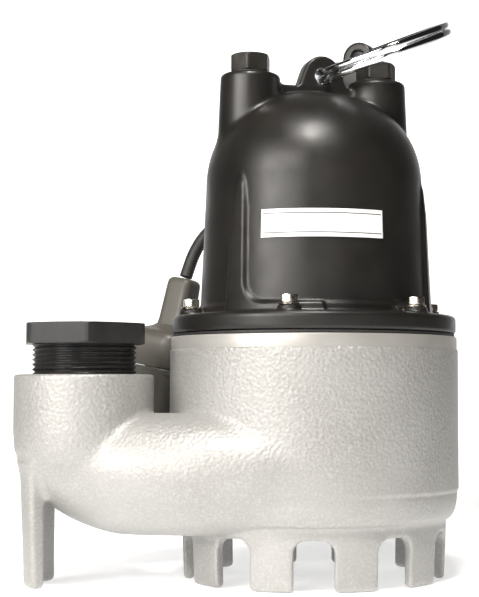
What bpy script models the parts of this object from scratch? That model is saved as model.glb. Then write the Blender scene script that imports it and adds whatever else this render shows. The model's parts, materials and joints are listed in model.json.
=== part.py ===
"""Submersible sump pump: cast volute on finger feet, side discharge, motor housing, tethered float.

Lengths are millimetres about the shaft axis and the floor: +X points away from the discharge and -Y to the
front. They become metres when a solid is placed. Each function makes one sub-part.
"""

import math

import bmesh
import bpy
import numpy as np
from mathutils import Matrix, Vector

MM = 0.001
SHAFT = Vector((34.2, 1.2, 0.0))  # the shaft's place, measured from the middle of the whole pump

# Volute casing
CASE_R = 69.0
CASE_TOP = 114.0
BAND_HEIGHT = 6.0  # machined band below the joint face
CHAMBER_R = 52.0
CHAMBER_FLOOR = 36.0
LEDGE_Z = 77.0  # the bearing carrier sits here
UPPER_BORE_R = 55.0
EYE_R = 24.0  # suction eye
RECESS_R = 57.5
RECESS_TOP = 28.0
FINGER_COUNT = 10
SLOT_WIDTH = 18.0
SLOT_TOP = 23.0
FOOT_Z = 20.0  # the fingers are solids of their own below this
SUCTION_PLATE_R = 49.0  # the floor round the suction eye is a solid of its own inside this
TOWER_SPLIT_X = -72.0  # the discharge tower is a solid of its own beyond this
TUBE_Z = 52.5  # centre height of the volute tube
TUBE_WALL = 6.5

# Discharge
TOWER_XY = (-106.0, -29.0)
TOWER_R = 32.0
TOWER_TOP = 96.0
THREAD_R = 24.0
THREAD_PITCH = 2.209
BUSHING_HEX_Z = 110.0
BUSHING_TOP = 119.5
BUSHING_HEX_R = 30.7  # over the corners, halved
BUSHING_BORE_R = 19.4

# Motor housing
FLANGE_R = 68.0
FLANGE_BOTTOM = 115.6
FLANGE_TOP = 124.0
HOUSING_BORE_R = 47.6
DOME_Z = 186.0
DOME_R = 52.0
DOME_RISE = 46.0
BOLT_CIRCLE_R = 61.0
BOLT_ANGLES = [-10.4 + 60.0 * i for i in range(6)]  # degrees from the front towards +X
BOSS_TOP = 126.5
RIB_ANGLES = (-40.4, 79.6, 199.6)
OIL_TOWER_ANGLE = 19.2  # the two oil towers stand on a line turned this far from X
OIL_TOWER_RADIUS = 32.3
OIL_TOWER_TOP = 239.6
PLUG_BORE_R = 8.4
EYE_HOLE = Vector((2.9, 1.0, 241.3))  # centre of the hole that the ring hangs in
EYE_HOLE_R = 3.9
EYE_TILT = 5.0  # the hole rises this much towards the back
EYE_PLATE = 9.4
TALL_EYE = Vector((23.5, 28.8, 255.9))  # centre of the second, taller eye's hole
TALL_EYE_YAW = -29.0
POWER_INLET_Z = 189.0
POWER_DIRECTION = Vector((0, 1, 0))  # the power cord's inlet points straight back

# Motor
SHAFT_R = 6.0
STACK_LOW = 126.0
STACK_HIGH = 170.0
WINDING_HIGH = 183.0  # top of the upper winding
STATOR_INNER_R = 28.4
BEARING_R = 16.0
BEARING_WIDTH = 10.0
BALL_PITCH_R = 11.2
LOWER_BEARING_Z = 86.3
UPPER_BEARING_Z = 198.0

# Lifting ring
RING_R = 34.8
RING_WIRE_R = 1.65
RING_COIL_STEP = 3.5
RING_LIFT = 23.5  # degrees that the ring leans up to the right at rest

# Float switch and its cord
CORD_R = 3.25
GLAND_FACE = Vector((-31.3, 50.0, 182.6))  # the end of the housing's boss that the gland nut screws to
GLAND_DIRECTION = Vector((-0.928, 0.0, -0.372))
GLAND_LENGTH = 8.5
CORD_ROUTE = [
    (-39.5, 50.0, 179.3),
    (-47.3, 49.4, 175.6),
    (-53.4, 48.2, 171.0),
    (-58.0, 46.8, 165.4),
    (-61.6, 45.3, 158.6),
    (-64.0, 44.0, 151.8),
    (-65.6, 43.2, 146.6),
]
FLOAT_TOP = Vector((-65.9, 43.0, 145.6))
FLOAT_YAW = -27.6
FLOAT_TILT = 11.0
FLOAT_SEAM = 47.0  # distance down the float from its top to the joint of its two shells
FLOAT_LENGTH = 93.0
BALL_R = 5.4

GAP = 0.3
WELD = 2e-6  # metres: points nearer than this are one point
FLAT = math.radians(0.05)

# Sides of the large round castings
CASE_SIDES = 40
HOUSING_SIDES = 36
BUSHING_SIDES = 24


def material(name, color, roughness, metallic):
    made = bpy.data.materials.new(name)
    made.use_nodes = True
    shader = made.node_tree.nodes["Principled BSDF"]
    shader.inputs["Base Color"].default_value = (*color, 1.0)
    shader.inputs["Roughness"].default_value = roughness
    shader.inputs["Metallic"].default_value = metallic
    made.diffuse_color = (*color, 1.0)
    return made


def arc(center_r, center_z, radius, start, end, steps):
    """Points of a circular arc in a profile plane, angles in degrees."""
    turns = [math.radians(start + (end - start) * i / steps) for i in range(steps + 1)]
    return [(center_r + radius * math.cos(t), center_z + radius * math.sin(t)) for t in turns]


def loft(rings):
    """A closed solid through rings of equally many points; a ring of one point closes to it."""
    made = bmesh.new()
    loops = [[made.verts.new(p) for p in ring] for ring in rings]
    for lower, upper in zip(loops, loops[1:]):
        count = max(len(lower), len(upper))
        for i in range(count):
            j = (i + 1) % count
            if len(lower) == 1:
                made.faces.new((lower[0], upper[i], upper[j]))
            elif len(upper) == 1:
                made.faces.new((lower[i], lower[j], upper[0]))
            else:
                made.faces.new((lower[i], lower[j], upper[j], upper[i]))
    for loop in (loops[0], loops[-1]):
        if len(loop) > 1:
            made.faces.new(loop)
    bmesh.ops.recalc_face_normals(made, faces=made.faces)
    return made


def loop_loft(rings):
    """As loft, with the last ring joined to the first: a closed hoop."""
    made = bmesh.new()
    loops = [[made.verts.new(p) for p in ring] for ring in rings]
    for lower, upper in zip(loops, loops[1:] + loops[:1]):
        for i in range(len(lower)):
            j = (i + 1) % len(lower)
            made.faces.new((lower[i], lower[j], upper[j], upper[i]))
    bmesh.ops.recalc_face_normals(made, faces=made.faces)
    return made


def circle(radius, z, segments, x=0.0, y=0.0):
    if radius < 1e-6:
        return [Vector((x, y, z))]
    turns = [2 * math.pi * i / segments for i in range(segments)]
    return [Vector((x + radius * math.cos(t), y + radius * math.sin(t), z)) for t in turns]


def turned(profile, segments=48, x=0.0, y=0.0):
    """A solid of revolution about a vertical line, its profile running from the axis back to the axis."""
    return loft([circle(r, z, segments, x, y) for r, z in profile])


def hoop(profile, segments=48, x=0.0, y=0.0):
    """A turned ring: its closed profile stays off the axis."""
    return loop_loft([circle(r, z, segments, x, y) for r, z in profile])


def rod(radius, low, high, segments=32, x=0.0, y=0.0):
    return turned([(0, low), (radius, low), (radius, high), (0, high)], segments, x, y)


def washer(inner, outer, low, high, segments=48, x=0.0, y=0.0):
    return hoop([(inner, low), (outer, low), (outer, high), (inner, high)], segments, x, y)


def prism(outline, low, high):
    return loft([[Vector((x, y, z)) for x, y in outline] for z in (low, high)])


def polygon(radius, sides, turn=0.0):
    angles = [math.radians(turn) + 2 * math.pi * i / sides for i in range(sides)]
    return [(radius * math.cos(a), radius * math.sin(a)) for a in angles]


def rounded_box(width, depth, corner, z, steps=4):
    """One level ring of a box with round corners."""
    ring = []
    for quadrant in range(4):
        sign_x = 1 if quadrant in (0, 3) else -1
        sign_y = 1 if quadrant in (0, 1) else -1
        center_x = sign_x * (width / 2 - corner)
        center_y = sign_y * (depth / 2 - corner)
        for x, y in arc(center_x, center_y, corner, 90 * quadrant, 90 * quadrant + 90, steps):
            ring.append(Vector((x, y, z)))
    return ring


def moved(made, matrix):
    bmesh.ops.transform(made, matrix=matrix, verts=made.verts)
    return made


def along(start, direction):
    """The matrix that takes +Z at the origin to a direction at a start point."""
    turn = Vector(direction).to_track_quat("Z", "Y").to_matrix().to_4x4()
    return Matrix.Translation(Vector(start)) @ turn


def from_front(radius, degrees):
    """A point at a radius about the shaft, at an angle from the front towards +X."""
    turn = math.radians(degrees)
    return radius * math.sin(turn), -radius * math.cos(turn)


def place(name, made, look=None, origin=(0.0, 0.0, 0.0)):
    """Turns a bmesh in pump millimetres into an object whose origin stands at that pump point."""
    base = Vector(origin)
    moved(made, Matrix.Scale(MM, 4) @ Matrix.Translation(-base))
    mesh = bpy.data.meshes.new(name)
    made.to_mesh(mesh)
    made.free()
    mesh.shade_smooth()
    mesh.set_sharp_from_angle(angle=math.radians(35))
    obj = bpy.data.objects.new(name, mesh)
    obj.location = (base + SHAFT) * MM
    bpy.context.scene.collection.objects.link(obj)
    if look:
        mesh.materials.append(look)
    return obj


def combine(obj, operation, helper):
    """Joins or cuts one object by another, which is used up; triangles keep the faces flat."""
    modifier = obj.modifiers.new("boolean", "BOOLEAN")
    modifier.operation = operation
    modifier.solver = "EXACT"
    modifier.object = helper
    bpy.context.view_layer.update()
    graph = bpy.context.evaluated_depsgraph_get()
    mesh = bpy.data.meshes.new_from_object(obj.evaluated_get(graph))
    result = bmesh.new()
    result.from_mesh(mesh)
    bmesh.ops.remove_doubles(result, verts=result.verts, dist=WELD)
    bmesh.ops.dissolve_limit(result, angle_limit=FLAT, verts=result.verts, edges=result.edges)
    bmesh.ops.triangulate(result, faces=result.faces)
    result.to_mesh(mesh)
    result.free()
    mesh.shade_smooth()
    mesh.set_sharp_from_angle(angle=math.radians(35))
    obj.modifiers.clear()
    obj.data = mesh
    bpy.data.objects.remove(helper, do_unlink=True)
    return obj


def boolean(obj, operation, *pieces):
    """As combine, for each of several bmeshes in pump millimetres."""
    for made in pieces:
        bmesh.ops.triangulate(made, faces=made.faces)
        combine(obj, operation, place("helper", made))
    return obj


def join(obj, *pieces):
    return boolean(obj, "UNION", *pieces)


def cut(obj, *pieces):
    return boolean(obj, "DIFFERENCE", *pieces)


# ---- volute casing -----------------------------------------------------------------------------------


def volute_stations(shrink):
    """(x, y, z, radius) along the volute tube, from the elbow under the tower to the far side of the chamber."""
    tube = [
        (-129.0, -27.0, 57.0, 9.0),
        (-122.0, -27.5, 56.0, 16.5),
        (-114.0, -28.5, 55.0, 22.0),
        (-104.0, -30.0, 54.0, 26.0),
        (-92.0, -33.5, 53.0, 28.5),
        (-80.0, -37.0, TUBE_Z, 29.0),
        (-66.0, -40.0, TUBE_Z, 29.0),
        (-52.0, -42.0, TUBE_Z, 29.0),
        (-36.0, -42.5, TUBE_Z, 29.0),
        (-20.0, -42.5, TUBE_Z, 28.0),
        (-4.0, -41.5, TUBE_Z, 26.0),
        (12.0, -39.0, TUBE_Z, 23.5),
        (28.0, -34.0, TUBE_Z, 20.5),
        (38.0, -26.0, TUBE_Z, 18.0),
    ]
    return [(x, y, z, radius - shrink) for x, y, z, radius in tube if radius - shrink > 3.0]


def volute_tube(shrink=0.0, segments=18):
    stations = volute_stations(shrink)
    centers = [Vector(s[:3]) for s in stations]
    rings = []
    for i, (center, station) in enumerate(zip(centers, stations)):
        before = centers[max(i - 1, 0)]
        after = centers[min(i + 1, len(centers) - 1)]
        ahead = (after - before).normalized()
        side = ahead.cross(Vector((0, 0, 1))).normalized()
        up = side.cross(ahead)
        turns = [2 * math.pi * k / segments for k in range(segments)]
        rings.append([center + station[3] * (math.cos(t) * side + math.sin(t) * up) for t in turns])
    return loft(rings)


def finger_slot(degrees):
    """A radial slot through the foot ring, round at its upper corners."""
    corner = 7.0
    half = SLOT_WIDTH / 2
    outline = [(-half, -1.0)]
    outline += arc(-half + corner, SLOT_TOP - corner, corner, 180, 90, 2)
    outline += arc(half - corner, SLOT_TOP - corner, corner, 90, 0, 2)
    outline += [(half, -1.0)]
    turn = Matrix.Rotation(math.radians(degrees), 4, "Z")
    rings = [[turn @ Vector((u, -radius, z)) for u, z in outline] for radius in (48.0, 72.0)]
    return loft(rings)


def discharge_leg(low, high):
    """Part of the arc-shaped leg under the discharge tower, between two heights."""
    spread = np.radians(np.linspace(-44, 44, 8))
    rings = []
    for z in (low, high):
        outer = 26.4 + 0.04 * z
        outside = [Vector((-outer * math.cos(a), outer * math.sin(a), z)) for a in spread]
        inside = [Vector((-20.8 * math.cos(a), 20.8 * math.sin(a), z)) for a in spread[::-1]]
        rings.append(outside + inside)
    return moved(loft(rings), Matrix.Translation((*TOWER_XY, 0)))


def tower_solid():
    profile = [(0, 34.0)] + arc(0, 62.0, 28.0, -72, -25, 4) + [(29.6, 56.5), (31.4, 62.0)]
    profile += [(TOWER_R, 70.0), (TOWER_R, TOWER_TOP - 0.8), (TOWER_R - 0.8, TOWER_TOP), (0, TOWER_TOP)]
    return turned(profile, 28, *TOWER_XY)


def tower_bore():
    profile = [(0, 40.0), (10.0, 42.0), (18.0, 48.0), (21.0, 56.0), (21.0, 72.0)]
    profile += [(THREAD_R + 0.4, 72.0), (THREAD_R + 0.4, TOWER_TOP + 3), (0, TOWER_TOP + 3)]
    return turned(profile, 28, *TOWER_XY)


def foot_radius(z):
    return 61.6 + 1.3 * z / 27.0


def recess_radius(z):
    return RECESS_R - 0.6 + 0.6 * z / 24.0


def feet(look):
    """Ten fingers of the foot ring, up to the height where the casing's wall takes over."""
    outline = [(recess_radius(0), 0.0), (foot_radius(0), 0.0)]
    outline += [(foot_radius(FOOT_Z), FOOT_Z), (recess_radius(FOOT_Z), FOOT_Z)]
    ring = place("helper_feet", hoop(outline, CASE_SIDES))
    cut(ring, *[finger_slot(360 / FINGER_COUNT * i) for i in range(FINGER_COUNT)])
    for i in range(FINGER_COUNT):
        middle = 360 / FINGER_COUNT * (i + 0.5)
        corners = [(0.0, 0.0)] + [from_front(90.0, middle + side * 17.9) for side in (-1, 1)]
        finger = bpy.data.objects.new(f"foot_finger_{i + 1}", ring.data.copy())
        finger.location = ring.location
        bpy.context.scene.collection.objects.link(finger)
        boolean(finger, "INTERSECT", prism(corners, -3.0, FOOT_Z + 3.0))
        finger.data.materials.clear()
        finger.data.materials.append(look)
    bpy.data.objects.remove(ring, do_unlink=True)


def part_of(obj, name, look, made):
    """A new object: what of an object lies inside a bmesh."""
    piece = bpy.data.objects.new(name, obj.data.copy())
    piece.location = obj.location
    bpy.context.scene.collection.objects.link(piece)
    boolean(piece, "INTERSECT", made)
    piece.data.materials.clear()
    piece.data.materials.append(look)
    return piece


def block(low, high):
    outline = [(low[0], low[1]), (high[0], low[1]), (high[0], high[1]), (low[0], high[1])]
    return prism(outline, low[2], high[2])


def volute_casing(look):
    """One casting, held as simpler solids that meet on plane faces: chamber, suction plate, tower, leg and feet."""
    foot = [(0, FOOT_Z), (foot_radius(FOOT_Z), FOOT_Z), (foot_radius(27.0), 27.0)]
    belly = [(63.4 + 5.6 * math.sin(t), 41.7 - 13.2 * math.cos(t)) for t in np.radians([0, 25, 50, 75])]
    wall = [(CASE_R, CASE_TOP - BAND_HEIGHT), (CASE_R - 0.5, CASE_TOP - BAND_HEIGHT + 0.4)]
    joint = [(CASE_R - 0.5, CASE_TOP - 0.4), (CASE_R - 0.9, CASE_TOP), (0, CASE_TOP)]
    casing = place("volute_casing", turned(foot + belly + wall + joint, CASE_SIDES), look)
    hollow = [(0, -1.0), (recess_radius(-1.0), -1.0), (recess_radius(FOOT_Z), FOOT_Z), (RECESS_R, 24.0)]
    hollow += [(RECESS_R - 4, RECESS_TOP), (0, RECESS_TOP)]
    slots = [finger_slot(360 / FINGER_COUNT * i) for i in range(FINGER_COUNT)]
    cut(casing, turned(hollow, CASE_SIDES), *slots)
    join(casing, volute_tube(), tower_solid(), discharge_leg(FOOT_Z, 50.0))
    chamber = [(0, CHAMBER_FLOOR), (CHAMBER_R - 2, CHAMBER_FLOOR), (CHAMBER_R, CHAMBER_FLOOR + 2)]
    chamber += [(CHAMBER_R, LEDGE_Z), (UPPER_BORE_R, LEDGE_Z), (UPPER_BORE_R, CASE_TOP + 2), (0, CASE_TOP + 2)]
    bolt_holes = [rod(2.8, 98.0, CASE_TOP + 2, 8, *from_front(BOLT_CIRCLE_R, a)) for a in BOLT_ANGLES]
    cut(casing, tower_bore(), volute_tube(TUBE_WALL))
    cut(casing, turned(chamber, CASE_SIDES), rod(EYE_R, 18.0, 40.0, 28), *bolt_holes)
    tower_block = block((-150.0, -90.0, 0.0), (TOWER_SPLIT_X, 60.0, 130.0))
    part_of(casing, "discharge_tower", look, tower_block.copy())
    cut(casing, tower_block)
    plate_block = rod(SUCTION_PLATE_R, 10.0, CHAMBER_FLOOR + 0.6, CASE_SIDES)
    part_of(casing, "suction_plate", look, plate_block.copy())
    cut(casing, plate_block)
    place("discharge_leg", discharge_leg(0.0, FOOT_Z), look)
    feet(look)


# ---- discharge bushing -------------------------------------------------------------------------------


def discharge_bushing(look):
    """A hex reducing bushing; its thread is cut as even grooves, which a thread looks like from the side."""
    crests = 6
    root = THREAD_R - 1.5
    profile = [(BUSHING_BORE_R, 72.4), (THREAD_R - 1.2, 72.4), (THREAD_R - 0.2, 73.8)]
    start = BUSHING_HEX_Z - 0.6 - crests * THREAD_PITCH
    profile.append((THREAD_R - 0.2, start - 0.4))
    for i in range(crests):
        low = start + i * THREAD_PITCH
        profile += [(root, low + 0.25), (THREAD_R, low + 1.2)]
    profile += [(root, BUSHING_HEX_Z - 0.5), (root, BUSHING_HEX_Z + 1), (BUSHING_BORE_R, BUSHING_HEX_Z + 1)]
    bushing = place("discharge_bushing", hoop(profile, BUSHING_SIDES, *TOWER_XY), look)
    outline = polygon(BUSHING_HEX_R, 6, -90 + 11.6)
    head = moved(prism(outline, BUSHING_HEX_Z, BUSHING_TOP), Matrix.Translation((*TOWER_XY, 0)))
    edge = [(0, BUSHING_HEX_Z - 1), (29.0, BUSHING_HEX_Z - 1), (31.2, BUSHING_HEX_Z + 1.4)]
    edge += [(31.2, BUSHING_TOP - 1.6), (28.6, BUSHING_TOP + 0.2), (0, BUSHING_TOP + 0.2)]
    nut = place("helper_head", head)
    boolean(nut, "INTERSECT", turned(edge, BUSHING_SIDES, *TOWER_XY))
    cut(nut, rod(BUSHING_BORE_R, BUSHING_HEX_Z - 3, BUSHING_TOP + 2, BUSHING_SIDES, *TOWER_XY))
    return combine(bushing, "UNION", nut)


# ---- motor housing -----------------------------------------------------------------------------------


def dome_profile(radius, rise, base, steps):
    """From the shoulder to the crown, a little fuller than an ellipse."""
    fullness = 2.2
    profile = []
    for i in range(1, steps):
        r = radius * math.cos(math.pi / 2 * i / steps)
        profile.append((r, base + rise * (1 - (r / radius) ** fullness) ** (1 / fullness)))
    return profile


def body_radius(z):
    """The housing's drafted side."""
    return 54.5 - 2.5 * (z - 129.0) / (DOME_Z - 129.0)


def housing_rib(degrees):
    """A low gusset up the side, wide at its foot where it runs out along the ledge."""
    outline = [(-5.6, 124.5), (-5.2, 140.0), (-3.2, 172.0), (-1.6, 184.0), (0.4, 189.0)]
    outline += [(2.6, 184.0), (4.2, 172.0), (5.2, 140.0)]
    outline += arc(16.0, 139.0, 10.8, 180, 262, 5) + [(16.5, 124.5)]
    pad = place("helper_pad", loft([[Vector((u, -r, z)) for u, z in outline] for r in (44.0, 62.0)]))
    envelope = [(0, 123.0), (57.2, 123.0), (body_radius(129) + 2.0, 129.0), (body_radius(172) + 1.6, 172.0)]
    envelope += [(body_radius(184) + 0.8, 184.0), (44.0, 200.0), (0, 200.0)]
    boolean(pad, "INTERSECT", turned(envelope, HOUSING_SIDES))
    pad.data.transform(Matrix.Rotation(math.radians(degrees), 4, "Z"))
    return pad


def oil_tower_xy(side):
    turn = math.radians(OIL_TOWER_ANGLE)
    return side * OIL_TOWER_RADIUS * math.cos(turn), side * OIL_TOWER_RADIUS * math.sin(turn)


def oil_tower(side):
    profile = [(0, 190.0), (16.2, 190.0), (14.3, OIL_TOWER_TOP - 2.2)]
    profile += arc(12.1, OIL_TOWER_TOP - 2.2, 2.2, 15, 90, 2) + [(0, OIL_TOWER_TOP)]
    return turned(profile, 24, *oil_tower_xy(side))


def ridge():
    """The web over the crown, from tower to tower."""
    half = EYE_PLATE / 2
    section = [(-half - 1.5, 214.0), (-half, 234.5)] + arc(-half + 1.2, 235.5, 1.2, 160, 90, 1)
    section += arc(half - 1.2, 235.5, 1.2, 90, 20, 1) + [(half, 234.5), (half + 1.5, 214.0)]
    rings = [[Vector((s, u, z)) for u, z in section] for s in (-26.0, 26.0)]
    return moved(loft(rings), Matrix.Rotation(math.radians(OIL_TOWER_ANGLE), 4, "Z"))


def eye_plate(radius, foot_half, foot_z, thickness):
    """An upright plate in its own XZ plane, arched about the origin, with eased edges."""
    tangent = math.degrees(math.asin(min(1.0, radius / math.hypot(foot_half, foot_z))))
    lean = math.degrees(math.atan2(foot_half, -foot_z)) - tangent
    half = thickness / 2
    rings = []
    for y, inset in ((-half, 1.0), (-half + 1.0, 0.0), (half - 1.0, 0.0), (half, 1.0)):
        top = arc(0, 0, radius - inset, -lean, 180 + lean, 10)
        points = [(foot_half - inset, foot_z)] + top + [(-foot_half + inset, foot_z)]
        rings.append([Vector((x, y, z)) for x, z in points])
    return loft(rings)


def ring_axis():
    """The direction of the eye's hole, which the ring turns about."""
    turn = math.radians(OIL_TOWER_ANGLE)
    tilt = math.radians(EYE_TILT)
    return Vector((-math.sin(turn) * math.cos(tilt), math.cos(turn) * math.cos(tilt), math.sin(tilt)))


def motor_housing(look):
    outer = [(0, 109.0), (UPPER_BORE_R - 0.4, 109.0), (UPPER_BORE_R - 0.4, FLANGE_BOTTOM)]
    outer += [(FLANGE_R - 0.6, FLANGE_BOTTOM), (FLANGE_R, FLANGE_BOTTOM + 0.6)]
    outer += arc(FLANGE_R - 2.4, FLANGE_TOP - 2.4, 2.4, 0, 90, 2)
    outer += arc(57.8, FLANGE_TOP + 2.0, 2.0, -90, -180, 2) + [(55.8, 127.4), (54.9, 128.6)]
    outer += [(body_radius(z), z) for z in (129.4, DOME_Z)]
    outer += dome_profile(DOME_R, DOME_RISE, DOME_Z, 9) + [(0, DOME_Z + DOME_RISE)]
    housing = place("motor_housing", turned(outer, HOUSING_SIDES), look)
    bosses = [rod(5.3, 120.0, BOSS_TOP, 10, *from_front(BOLT_CIRCLE_R, a)) for a in BOLT_ANGLES]
    turn = Matrix.Rotation(math.radians(OIL_TOWER_ANGLE), 4, "Z")
    eye = moved(eye_plate(9.8, 15.5, -6.5, EYE_PLATE), Matrix.Translation(EYE_HOLE) @ turn)
    yaw = Matrix.Rotation(math.radians(TALL_EYE_YAW), 4, "Z")
    tall_eye = moved(eye_plate(8.3, 10.8, -40.0, 8.0), Matrix.Translation(TALL_EYE) @ yaw)
    float_boss = moved(rod(8.0, -20.0, 0.0, 20), along(GLAND_FACE, GLAND_DIRECTION))
    power_boss = moved(rod(10.5, 40.0, 58.0, 20), along((0, 0, POWER_INLET_Z), POWER_DIRECTION))
    join(housing, *bosses, oil_tower(-1), oil_tower(1), ridge(), eye, tall_eye)
    join(housing, float_boss, power_boss)
    for degrees in RIB_ANGLES:
        combine(housing, "UNION", housing_rib(degrees))
    hollow = [(0, 107.0), (HOUSING_BORE_R, 107.0), (HOUSING_BORE_R, 188.0)]
    hollow += dome_profile(HOUSING_BORE_R, 38.0, 188.0, 6)[:-1]
    hollow += [(21.0, 222.0), (21.0, 197.6), (16.3, 197.6), (16.3, 209.0), (9.0, 211.0), (0, 211.0)]
    hole_axis = along(EYE_HOLE, ring_axis())
    cutters = [turned(hollow, 28), moved(rod(EYE_HOLE_R, -12, 12, 20), hole_axis)]
    cutters.append(moved(rod(3.6, -12, 12, 16), along(TALL_EYE, yaw @ Vector((0, 1, 0)))))
    plug_bore = [(0, 205.0), (5.0, 205.0), (5.0, 226.0), (PLUG_BORE_R, 226.0), (PLUG_BORE_R, 250.0), (0, 250.0)]
    for side in (-1, 1):
        cutters.append(turned(plug_bore, 16, *oil_tower_xy(side)))
    for degrees in BOLT_ANGLES:
        cutters.append(rod(2.8, 112.0, 130.0, 8, *from_front(BOLT_CIRCLE_R, degrees)))
    cutters.append(moved(rod(5.6, -14.0, 4.0, 14), along(GLAND_FACE, GLAND_DIRECTION)))
    cutters.append(moved(rod(4.0, 0.0, 16.0, 10), along(GLAND_FACE - 12.0 * GLAND_DIRECTION, (0, -1, 0))))
    power_bore = turned([(0, 36.0), (4.6, 36.0), (4.6, 52.0), (6.6, 52.0), (6.6, 60.0), (0, 60.0)], 14)
    cutters.append(moved(power_bore, along((0, 0, POWER_INLET_Z), POWER_DIRECTION)))
    return cut(housing, *cutters)


# ---- fasteners and small outside pieces --------------------------------------------------------------


def flange_bolt(index, look):
    """A hex bolt with its washer under the head, and its shank."""
    x, y = from_front(BOLT_CIRCLE_R, BOLT_ANGLES[index])
    bolt = place(f"flange_bolt_{index + 1}", rod(2.5, 100.0, 129.0, 12, x, y), look)
    head = prism(polygon(4.15, 6, BOLT_ANGLES[index] * 2.0), 127.3, 131.3)
    washer_disc = rod(4.7, BOSS_TOP + GAP, 127.6, 16, x, y)
    return join(bolt, washer_disc, moved(head, Matrix.Translation((x, y, 0))))


def oil_plug(name, side, look):
    """A hex plug whose shank fills the tower's bore."""
    x, y = oil_tower_xy(side)
    outline = polygon(10.05, 6, -90 - 6 if side < 0 else -90 - 21)
    plug = place(name, moved(prism(outline, 240.9, 249.3), Matrix.Translation((x, y, 0))), look)
    edge = turned([(0, 240), (10.6, 240), (10.6, 247.6), (9.0, 249.3), (0, 249.3)], 24, x, y)
    boolean(plug, "INTERSECT", edge)
    return join(plug, rod(PLUG_BORE_R - GAP, 228.0, 242.0, 20, x, y))


def oil_plug_seal(name, side, look):
    x, y = oil_tower_xy(side)
    return place(name, washer(PLUG_BORE_R + 0.1, 9.7, OIL_TOWER_TOP + GAP, 240.6, 20, x, y), look)


def label_plate(look):
    """A blank plate bent round the front of the housing."""
    angles = np.linspace(-26.4, 35.4, 14)
    rings = []
    for degrees in angles:
        ring = []
        for z, lift in ((157.6, GAP), (170.4, GAP), (170.4, 0.9), (157.6, 0.9)):
            x, y = from_front(body_radius(z) + lift, degrees)
            ring.append(Vector((x, y, z)))
        rings.append(ring)
    return place("label_plate", loft(rings), look)


def lift_ring(look):
    """A split ring: one wire wound twice, which crosses from the lower coil to the upper at its far side."""
    axis = ring_axis()
    level = Vector((math.cos(math.radians(OIL_TOWER_ANGLE)), math.sin(math.radians(OIL_TOWER_ANGLE)), 0))
    rise = level.cross(axis)
    lift = math.radians(RING_LIFT)
    outward = math.cos(lift) * level + math.sin(lift) * rise
    normal = outward.cross(axis)
    center = EYE_HOLE + RING_R * outward
    steps = 60
    start, cross_half = math.radians(15), math.radians(11)
    rings = []
    for i in range(steps + 1):
        turn = start + (4 * math.pi - 2 * start) * i / steps
        blend = min(1.0, max(0.0, (turn - 2 * math.pi + cross_half) / (2 * cross_half)))
        height = RING_COIL_STEP * (blend * blend * (3 - 2 * blend) - 0.5)
        swing = turn + math.pi / 2
        spoke = -math.cos(swing) * outward + math.sin(swing) * axis
        middle = center + RING_R * spoke + height * normal
        section = circle(RING_WIRE_R, 0, 6)
        rings.append([middle + p.x * spoke + p.y * normal for p in section])
    return place("lift_ring", loft(rings), look, EYE_HOLE)


# ---- rotating parts and seals ------------------------------------------------------------------------


def housing_gasket(look):
    gasket = place("housing_gasket", washer(56.0, 67.6, CASE_TOP + GAP, FLANGE_BOTTOM - GAP, 36), look)
    holes = [rod(3.1, 112.0, 118.0, 8, *from_front(BOLT_CIRCLE_R, a)) for a in BOLT_ANGLES]
    return cut(gasket, *holes)


def bearing_carrier(look):
    """A cup that divides motor from water: it holds the seal's seat below and the lower bearing above."""
    bottom = LEDGE_Z + GAP
    profile = [(7.6, 77.6), (13.3, 77.6), (13.3, 72.0), (22.0, 72.0), (23.0, bottom), (54.6, bottom)]
    profile += [(54.6, 108.6), (51.6, 108.6), (51.6, 85.0), (24.0, 85.0), (21.0, 97.0)]
    profile += [(BEARING_R + GAP, 97.0), (BEARING_R + GAP, 86.0), (7.6, 86.0)]
    return place("bearing_carrier", hoop(profile, 24), look)


def shaft(look):
    profile = [(0, 35.0), (3.4, 35.0), (3.5, 42.3), (SHAFT_R, 42.3), (SHAFT_R, 208.0), (5.2, 208.8), (0, 208.8)]
    return place("shaft", turned(profile, 20), look)


def impeller_vane(index):
    """A backward-curved vane that starts inside the hub."""
    turn = 2 * math.pi * index / 6
    inner, outer = [], []
    for i in range(7):
        share = i / 6
        radius = 8.5 + 31.0 * share
        angle = turn - 1.15 * share
        point = Vector((radius * math.cos(angle), radius * math.sin(angle)))
        side = Vector((-math.sin(angle), math.cos(angle))) * 1.3
        inner.append(point - side)
        outer.append(point + side)
    outline = [(p.x, p.y) for p in inner + outer[::-1]]
    return prism(outline, 38.6, 60.6)


def impeller(look):
    profile = [(0, 39.7), (10.0, 39.7), (10.0, 59.5), (39.5, 59.5), (40.0, 60.0), (40.0, 62.0)]
    profile += [(11.0, 62.4), (0, 62.4)]
    wheel = place("impeller", turned(profile, 28), look)
    join(wheel, *[impeller_vane(i) for i in range(6)])
    bore = [(0, 36), (3.8, 36), (3.8, 42.0), (SHAFT_R + GAP, 42.0), (SHAFT_R + GAP, 65), (0, 65)]
    return cut(wheel, turned(bore, 20))


def impeller_nut(look):
    nut = place("impeller_nut", prism(polygon(6.2, 6), 36.4, 39.4), look)
    return cut(nut, rod(3.8, 30.0, 45.0, 20))


def seal_spring(look):
    """Three turns of wire between the impeller and the seal head."""
    coil_r, wire_r, low, pitch = 9.0, 0.6, 63.4, 1.45
    steps = 42
    rings = []
    for i in range(steps + 1):
        turn = 2 * math.pi * 3 * i / steps
        middle = Vector((coil_r * math.cos(turn), coil_r * math.sin(turn), low + pitch * 3 * i / steps))
        spoke = Vector((math.cos(turn), math.sin(turn), 0))
        rings.append([middle + p.x * spoke + Vector((0, 0, p.y)) for p in circle(wire_r, 0, 5)])
    return place("seal_spring", loft(rings), look)


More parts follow.
